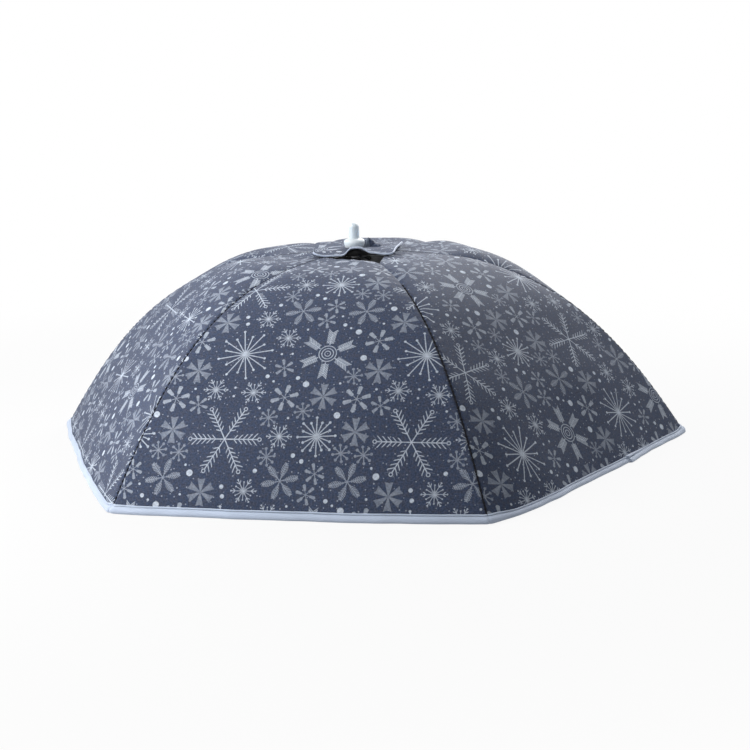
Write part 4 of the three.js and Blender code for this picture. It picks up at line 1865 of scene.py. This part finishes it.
@dataclass
class Crown:
    """The flap over the vent, its edging, the cap and the knob."""

    gap: float = 0.3 * MM
    # The flap, a rounded square a little off centre.
    neck: float = 7.3 * MM
    thickness: float = 0.8 * MM
    half_width: float = 45 * MM
    turn_degrees: float = 8
    shift: float = 6 * MM
    shift_degrees: float = 75
    squareness: float = 14
    rim_height: float = 192.3 * MM
    slope: float = 1.6
    print_place: Span = (70 * MM, 25 * MM)
    around: int = 288
    rings: int = 40
    # Height in millimetres, azimuth and spread in degrees, and steepness of each raised edge.
    lifts: tuple[tuple[float, float, float, int], ...] = (
        (8.0, -76, 14.5, 4), (2.6, -55, 9, 2), (3.9, 3, 38, 6), (3.8, 132, 30, 2), (2.0, 60, 22, 2),
        (3.4, -131, 9, 2),
    )
    # Place, height and radius of each crumpled tuft, in millimetres.
    tufts: tuple[tuple[float, float, float, float], ...] = (
        (12.5, 10.5, 8.5, 4.6), (17.5, 9.5, 5.0, 5.2), (9.5, 13.5, 6.0, 4.2), (22.5, 7.0, 2.4, 5.5),
    )
    crumple: float = 0.16
    crumples: Ripple = Ripple(8, 9 * MM)
    softness: float = 0.6 * MM
    softs: Ripple = Ripple(5, 30 * MM)
    fold: float = 0.5 * MM
    folds: int = 9
    free: float = 10 * MM
    # The edging, rolled under where it doesn't show.
    edging: float = 2 * MM
    piping: float = 1.05 * MM
    shown_degrees: Span = (-52, 98)
    tuck: float = 1.7 * MM
    tuck_degrees: float = 8
    edging_sides: int = 12
    # The cap and the knob.
    cap_radius: float = 11 * MM
    cap_foot: float = 10 * MM
    cap_shoulder: float = 3.4 * MM
    cap_dish: float = 0.9 * MM
    cap_edge: float = 0.5 * MM
    knob_radius: float = 5.45 * MM
    knob_round: float = 0.96
    soft_edge: float = 0.4 * MM

    @property
    def seat(self) -> float:
        """The height of the flap's middle layer at the cap."""
        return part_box("crown_cap")[0].z - self.gap - self.thickness / 2

    def rim(self, angle: Array) -> Array:
        """Find the edge of the flap.

        Args:
            angle: the azimuth.

        Returns:
            How far the edge is from the middle.
        """
        turn = angle - math.radians(self.turn_degrees)
        total = np.abs(np.cos(turn)) ** self.squareness + np.abs(np.sin(turn)) ** self.squareness
        shift = self.shift * np.cos(angle - math.radians(self.shift_degrees))
        return self.half_width / total ** (1 / self.squareness) + shift

    def height(self, radius: Array, angle: Array) -> Array:
        """Find the height of the flap's middle layer, with the folds that the cloth has.

        Args:
            radius: how far from the middle.
            angle: the azimuth.

        Returns:
            The height.
        """
        share = (radius - self.neck) / (self.rim(angle) - self.neck)
        edge = np.full_like(share, self.rim_height)
        for tall, turn, spread, power in self.lifts:
            off = angle_between(angle, math.radians(turn)) / math.radians(spread)
            edge = edge + tall * MM * np.exp(-np.abs(off) ** power)
        plain = self.seat + share**self.slope * (edge - self.seat)
        across, along = radius * np.cos(angle), radius * np.sin(angle)
        soft = self.softs.at(across, along) * self.softness * (1 - 0.7 * share)
        folds = self.fold * np.sin(self.folds * angle + 0.8) * share * (1 - share)
        crumple = 1 + self.crumple * self.crumples.at(across, along)
        tuft = np.zeros_like(radius)
        for left, back, tall, wide in self.tufts:
            off = np.hypot(across - left * MM, along - back * MM) / (wide * MM)
            puff = np.sqrt(np.clip(1 - off**2, 0, 1))
            tuft = np.maximum(tuft, tall * MM * puff * crumple)
        away = rise(radius, (self.cap_radius, self.free))
        return plain + (soft + folds) * away + tuft * smooth(2 * away)

    def surface(self, angle: Array, radius: Array, above: float) -> Array:
        """Points of the flap at a distance above its middle layer."""
        z = self.height(radius, angle) + above
        return joined(radius * np.cos(angle), radius * np.sin(angle), z)

    def build_flap(self) -> Piece:
        """Make the loose printed flap.

        Returns:
            The flap.
        """
        angle = np.arange(self.around)[:, None] * 2 * math.pi / self.around
        share = np.linspace(0, 1, self.rings)[None]
        inner = self.neck + self.gap
        radius = inner + (self.rim(angle) - self.edging * 0.6 - inner) * share
        top = self.surface(angle, radius, self.thickness / 2)
        low = self.surface(angle, radius, -self.thickness / 2)
        loop = np.concatenate([top, low[:, ::-1]], axis=1)
        faces = grid_faces(self.around, 2 * self.rings, wrap_rows=True, wrap_columns=True)
        flat = loop[..., :2] + np.array(self.print_place)
        piece = new_piece("crown_flap", loop, faces, CLOTH, flat)
        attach(piece, "crown")
        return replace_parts(piece, "top_flap")

    def build_edging(self) -> Piece:
        """Make the narrow pale edging round the flap, rolled under at its left and back.

        Returns:
            The edging.
        """
        angle = np.arange(2 * self.around)[:, None] * math.pi / self.around
        turn = np.arange(self.edging_sides)[None] * 2 * math.pi / self.edging_sides
        aim, reach = map(math.radians, self.shown_degrees)
        off = np.abs(angle_between(angle, aim))
        hidden = rise(off, (reach, math.radians(self.tuck_degrees)))
        middle = self.rim(angle) - (self.edging / 2 + hidden * self.tuck)
        radius = middle + np.cos(turn) * self.edging / 2
        z = self.height(middle, angle) - hidden * self.tuck + np.sin(turn) * self.piping
        points = joined(radius * np.cos(angle), radius * np.sin(angle), z)
        faces = grid_faces(*points.shape[:2], wrap_rows=True, wrap_columns=True)
        flat = np.stack(np.broadcast_arrays(angle * self.half_width, turn * MM), -1)
        piece = new_piece("flap_piping", points, faces, TAPE, flat)
        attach(piece, "crown")
        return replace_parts(piece, "flap_edging")

    def build_cap(self) -> Piece:
        """Make the cap that holds the flap down on the hub.

        Returns:
            The cap.
        """
        low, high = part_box("crown_cap")
        bore, neck = self.knob_radius + self.gap, self.neck + self.gap
        shoulder = quarter(self.cap_radius, high.z - self.cap_dish, self.cap_shoulder)
        lip = bore + self.cap_edge
        roof = [
            (lip + (shoulder[-1][0] - lip) * (1 - t), high.z - self.cap_dish * (1 - t))
            for t in (0.25, 0.5, 0.75, 1.0)
        ]
        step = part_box("upper_hub")[1].z + self.gap
        profile = [
            (neck, low.z),
            (self.cap_foot - self.cap_edge, low.z),
            (self.cap_foot, low.z + self.cap_edge),
            *shoulder,
            *roof,
            (bore, high.z - self.soft_edge),
            (bore, step),
            (neck, step),
        ]
        piece = turned("cap", profile, WHITE)
        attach(piece, "crown")
        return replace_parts(piece, "crown_cap")

    def build_knob(self) -> Piece:
        """Make the knob that pulls the runner up, and its stem.

        Returns:
            The knob.
        """
        low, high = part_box("pull_knob")
        radius, edge = self.knob_radius, self.soft_edge
        ball = quarter(radius, high.z, radius * self.knob_round, 16)
        foot = [(0.0, low.z), (radius - edge, low.z), (radius, low.z + edge)]
        piece = turned("knob", [*foot, *ball, (0.0, high.z)], WHITE)
        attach(piece, "runner")
        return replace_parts(piece, "pull_knob")

    def build(self) -> list[Piece]:
        """Build the crown's visible pieces.

        Returns:
            The flap, its edging, the cap and the knob.
        """
        flap, edging = self.build_flap(), self.build_edging()
        return [flap, edging, self.build_cap(), self.build_knob()]


@dataclass
class Skeleton:
    """The hidden frame: hub, runner, ribs, clips, pins and stretchers."""

    edge: float = 0.25 * MM
    weld: float = 0.01 * MM
    slots: dict[Finish, str] = field(default_factory=lambda: {
        STEEL: "frame_steel", WHITE: "white_plastic", BLACK_PLASTIC_AND_VENT_SHADE: "black_plastic",
    })
    # The hub and the runner are near black, which paints the vent's gap with shade.
    whole: dict[str, Finish] = field(default_factory=lambda: {
        "upper_hub": BLACK_PLASTIC_AND_VENT_SHADE, "runner": BLACK_PLASTIC_AND_VENT_SHADE, "hub_ring": STEEL,
    })
    each_rib: dict[str, Finish] = field(default_factory=lambda: {
        "rib": STEEL, "clip_pin": STEEL, "stretcher": STEEL, "rib_tip": WHITE, "rib_clip": BLACK_PLASTIC_AND_VENT_SHADE,
    })

    def build(self) -> list[Piece]:
        """Round the edges of every rigid node and finish it.

        Returns:
            The pieces made.
        """
        made = [self.dress(node, finish) for node, finish in self.whole.items()]
        for number in range(1, PANELS + 1):
            made += [self.dress(f"{node}_{number}", kind) for node, kind in self.each_rib.items()]
        return made

    def dress(self, node: str, finish: Finish) -> Piece:
        """Give one CAD node a copy with rounded edges, which rides on the node's body.

        Args:
            node: the CAD node, which the copy replaces.
            finish: what it is finished in.

        Returns:
            The copy.
        """
        source = frame["nodes"][node]
        mesh = source.data.copy()
        merge(mesh, self.weld)
        piece = linked(f"{node}_piece", mesh)
        bevel = piece.modifiers.new("edges", "BEVEL")
        bevel.width, bevel.segments = self.edge, 2
        bevel.limit_method, bevel.angle_limit = "ANGLE", SHARP_ANGLE
        baked(piece)
        finished(piece, finish)
        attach(piece, source["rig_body"])
        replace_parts(piece, node)
        return piece


@dataclass(frozen=True)
class Lamp:
    """A soft square lamp that looks at the cover."""

    name: str
    azimuth_degrees: float
    elevation_degrees: float
    distance: float
    size: float
    power: float

    def hang(self, aim: Vector) -> None:
        """Hang the lamp and turn it to the aim.

        Args:
            aim: the point that it looks at.
        """
        a, e = math.radians(self.azimuth_degrees), math.radians(self.elevation_degrees)
        way = Vector((math.cos(a) * math.cos(e), math.sin(a) * math.cos(e), math.sin(e)))
        light = bpy.data.lights.new(self.name, "AREA")
        light.energy, light.size = self.power, self.size
        lamp = linked(self.name, light)
        lamp.location = aim + way * self.distance
        lamp.rotation_euler = way.to_track_quat("Z", "Y").to_euler()


@dataclass
class Studio:
    """The camera, the lamps, the floor and the white surroundings."""

    azimuth_degrees: float = 11.603
    elevation_degrees: float = 13.098
    roll_degrees: float = -2.305
    distance: float = 1.391
    target: tuple[float, float, float] = (0.0157, 0.0032, 0.0575)
    lens: float = 62.4
    sensor: float = 36.0
    clip: Span = (0.05, 50.0)
    surround: float = 0.235
    lamp_aim: tuple[float, float, float] = (0.0, 0.0, 0.08)
    lamps: tuple[Lamp, ...] = (
        Lamp("key", -158, 42, 0.9, 0.6, 6.4),
        Lamp("back", 70, 36, 1.6, 1.2, 30),
        Lamp("near left", -131, 20, 0.71, 0.4, 1.85),
        Lamp("low right", -12, 10, 1.4, 1.0, 1.5),
    )
    # The floor, and the distances over which its white sets in from the middle.
    floor_radius: float = 6.0
    floor_sides: int = 64
    floor_drop: float = 0.2 * MM
    floor_white: float = 0.5
    under_vent: Span = (0.08, 0.12)
    covered: Span = (0.283, 0.296)
    clear_floor: Ramp = (0.4, 1.1, 0.91, 1.0)

    def place_camera(self) -> None:
        """Put the camera where the photograph was taken from."""
        a, e = math.radians(self.azimuth_degrees), math.radians(self.elevation_degrees)
        back = Vector((math.sin(a) * math.cos(e), -math.cos(a) * math.cos(e), math.sin(e)))
        right = Vector((math.cos(a), math.sin(a), 0.0))
        up = back.cross(right)
        roll = math.radians(self.roll_degrees)
        right, up = (
            right * math.cos(roll) + up * math.sin(roll),
            up * math.cos(roll) - right * math.sin(roll),
        )
        data = bpy.data.cameras.new("camera")
        data.lens, data.sensor_width = self.lens, self.sensor
        data.clip_start, data.clip_end = self.clip
        camera = linked("camera", data)
        turn = Matrix((right, up, back)).transposed().to_4x4()
        camera.matrix_world = Matrix.Translation(Vector(self.target) + back * self.distance) @ turn
        bpy.context.scene.camera = camera

    def white_seen(self, wiring: Wiring, seen: Feed = 1.0, mirrored: Feed = 1.0) -> Socket:
        """Work out how white a ray sees the surroundings, which is 0 for light on the object.

        Args:
            wiring: the nodes to add to.
            seen: the white for a ray from the camera.
            mirrored: the white for a ray from a gloss or a glass.

        Returns:
            The strength of white for the ray.
        """
        rays = wiring.add("ShaderNodeLightPath").outputs
        bounced = wiring.math("MAXIMUM", rays["Is Glossy Ray"], rays["Is Transmission Ray"])
        direct = wiring.math("MULTIPLY", rays["Is Camera Ray"], seen)
        return wiring.math("MAXIMUM", direct, wiring.math("MULTIPLY", bounced, mirrored))

    def floor_material(self) -> bpy.types.Material:
        """Make the floor's pale material, which keeps a faint shadow.

        Returns:
            The material.
        """
        material = bpy.data.materials.new("pale floor")
        material.use_nodes = True
        nodes, wiring = material.node_tree.nodes, Wiring(material.node_tree)
        color = (*(self.floor_white,) * 3, 1.0)
        matt = wiring.feed(nodes["Principled BSDF"], {"Base Color": color, "Roughness": 0.9})
        glow = wiring.add("ShaderNodeEmission", {"Color": OPAQUE_WHITE, "Strength": 1.0})
        reach = wiring.measure("LENGTH", wiring.add("ShaderNodeTexCoord").outputs["Object"])
        seen, mirrored = wiring.ramp(reach, *self.under_vent), wiring.ramp(reach, *self.covered)
        white = self.white_seen(wiring, seen, mirrored)
        part = wiring.math("MULTIPLY", wiring.ramp(reach, *self.clear_floor), white)
        mix = wiring.add("ShaderNodeMixShader", {0: part, 1: matt.outputs[0], 2: glow.outputs[0]})
        wiring.feed(nodes["Material Output"], {"Surface": mix.outputs[0]})
        return material

    def lay_floor(self) -> None:
        """Lay a wide round floor that looks white from the camera."""
        angle = np.arange(self.floor_sides) * 2 * math.pi / self.floor_sides
        x, y = np.cos(angle) * self.floor_radius, np.sin(angle) * self.floor_radius
        rim = joined(x, y, -self.floor_drop)
        mesh = bpy.data.meshes.new("floor")
        mesh.from_pydata(rim.tolist(), [], [list(range(self.floor_sides))])
        mesh.materials.append(self.floor_material())
        linked("floor", mesh)

    def surround_white(self) -> None:
        """Make a soft sky that looks white from the camera and lights the object less."""
        world = bpy.data.worlds.new("studio")
        world.use_nodes = True
        bpy.context.scene.world = world
        wiring, more = Wiring(world.node_tree), 1.0 - self.surround
        level = wiring.math("MULTIPLY_ADD", self.white_seen(wiring), more, self.surround)
        sky = world.node_tree.nodes["Background"]
        wiring.feed(sky, {"Color": OPAQUE_WHITE, "Strength": level})

    def build(self) -> None:
        """Set the whole stage."""
        self.place_camera()
        self.surround_white()
        self.lay_floor()
        for lamp in self.lamps:
            lamp.hang(Vector(self.lamp_aim))
        bpy.context.scene.view_settings.view_transform = "Standard"


def main() -> None:
    """Build the cover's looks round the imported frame."""
    logging.basicConfig(level=logging.INFO, format="%(message)s")
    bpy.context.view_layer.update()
    Studio().build()
    build_weave_group()
    build_wear_group()
    SnowPrint().build()
    stitches, threads = StitchTree("Stitch Row"), ThreadTree("Thread Line")
    pieces = [*Canopy().build(stitches, threads), *Crown().build(), *Skeleton().build()]
    for piece in pieces:
        LOG.info("%s: %d faces", piece.name, len(piece.data.polygons))


if __name__ == "__main__":
    main()
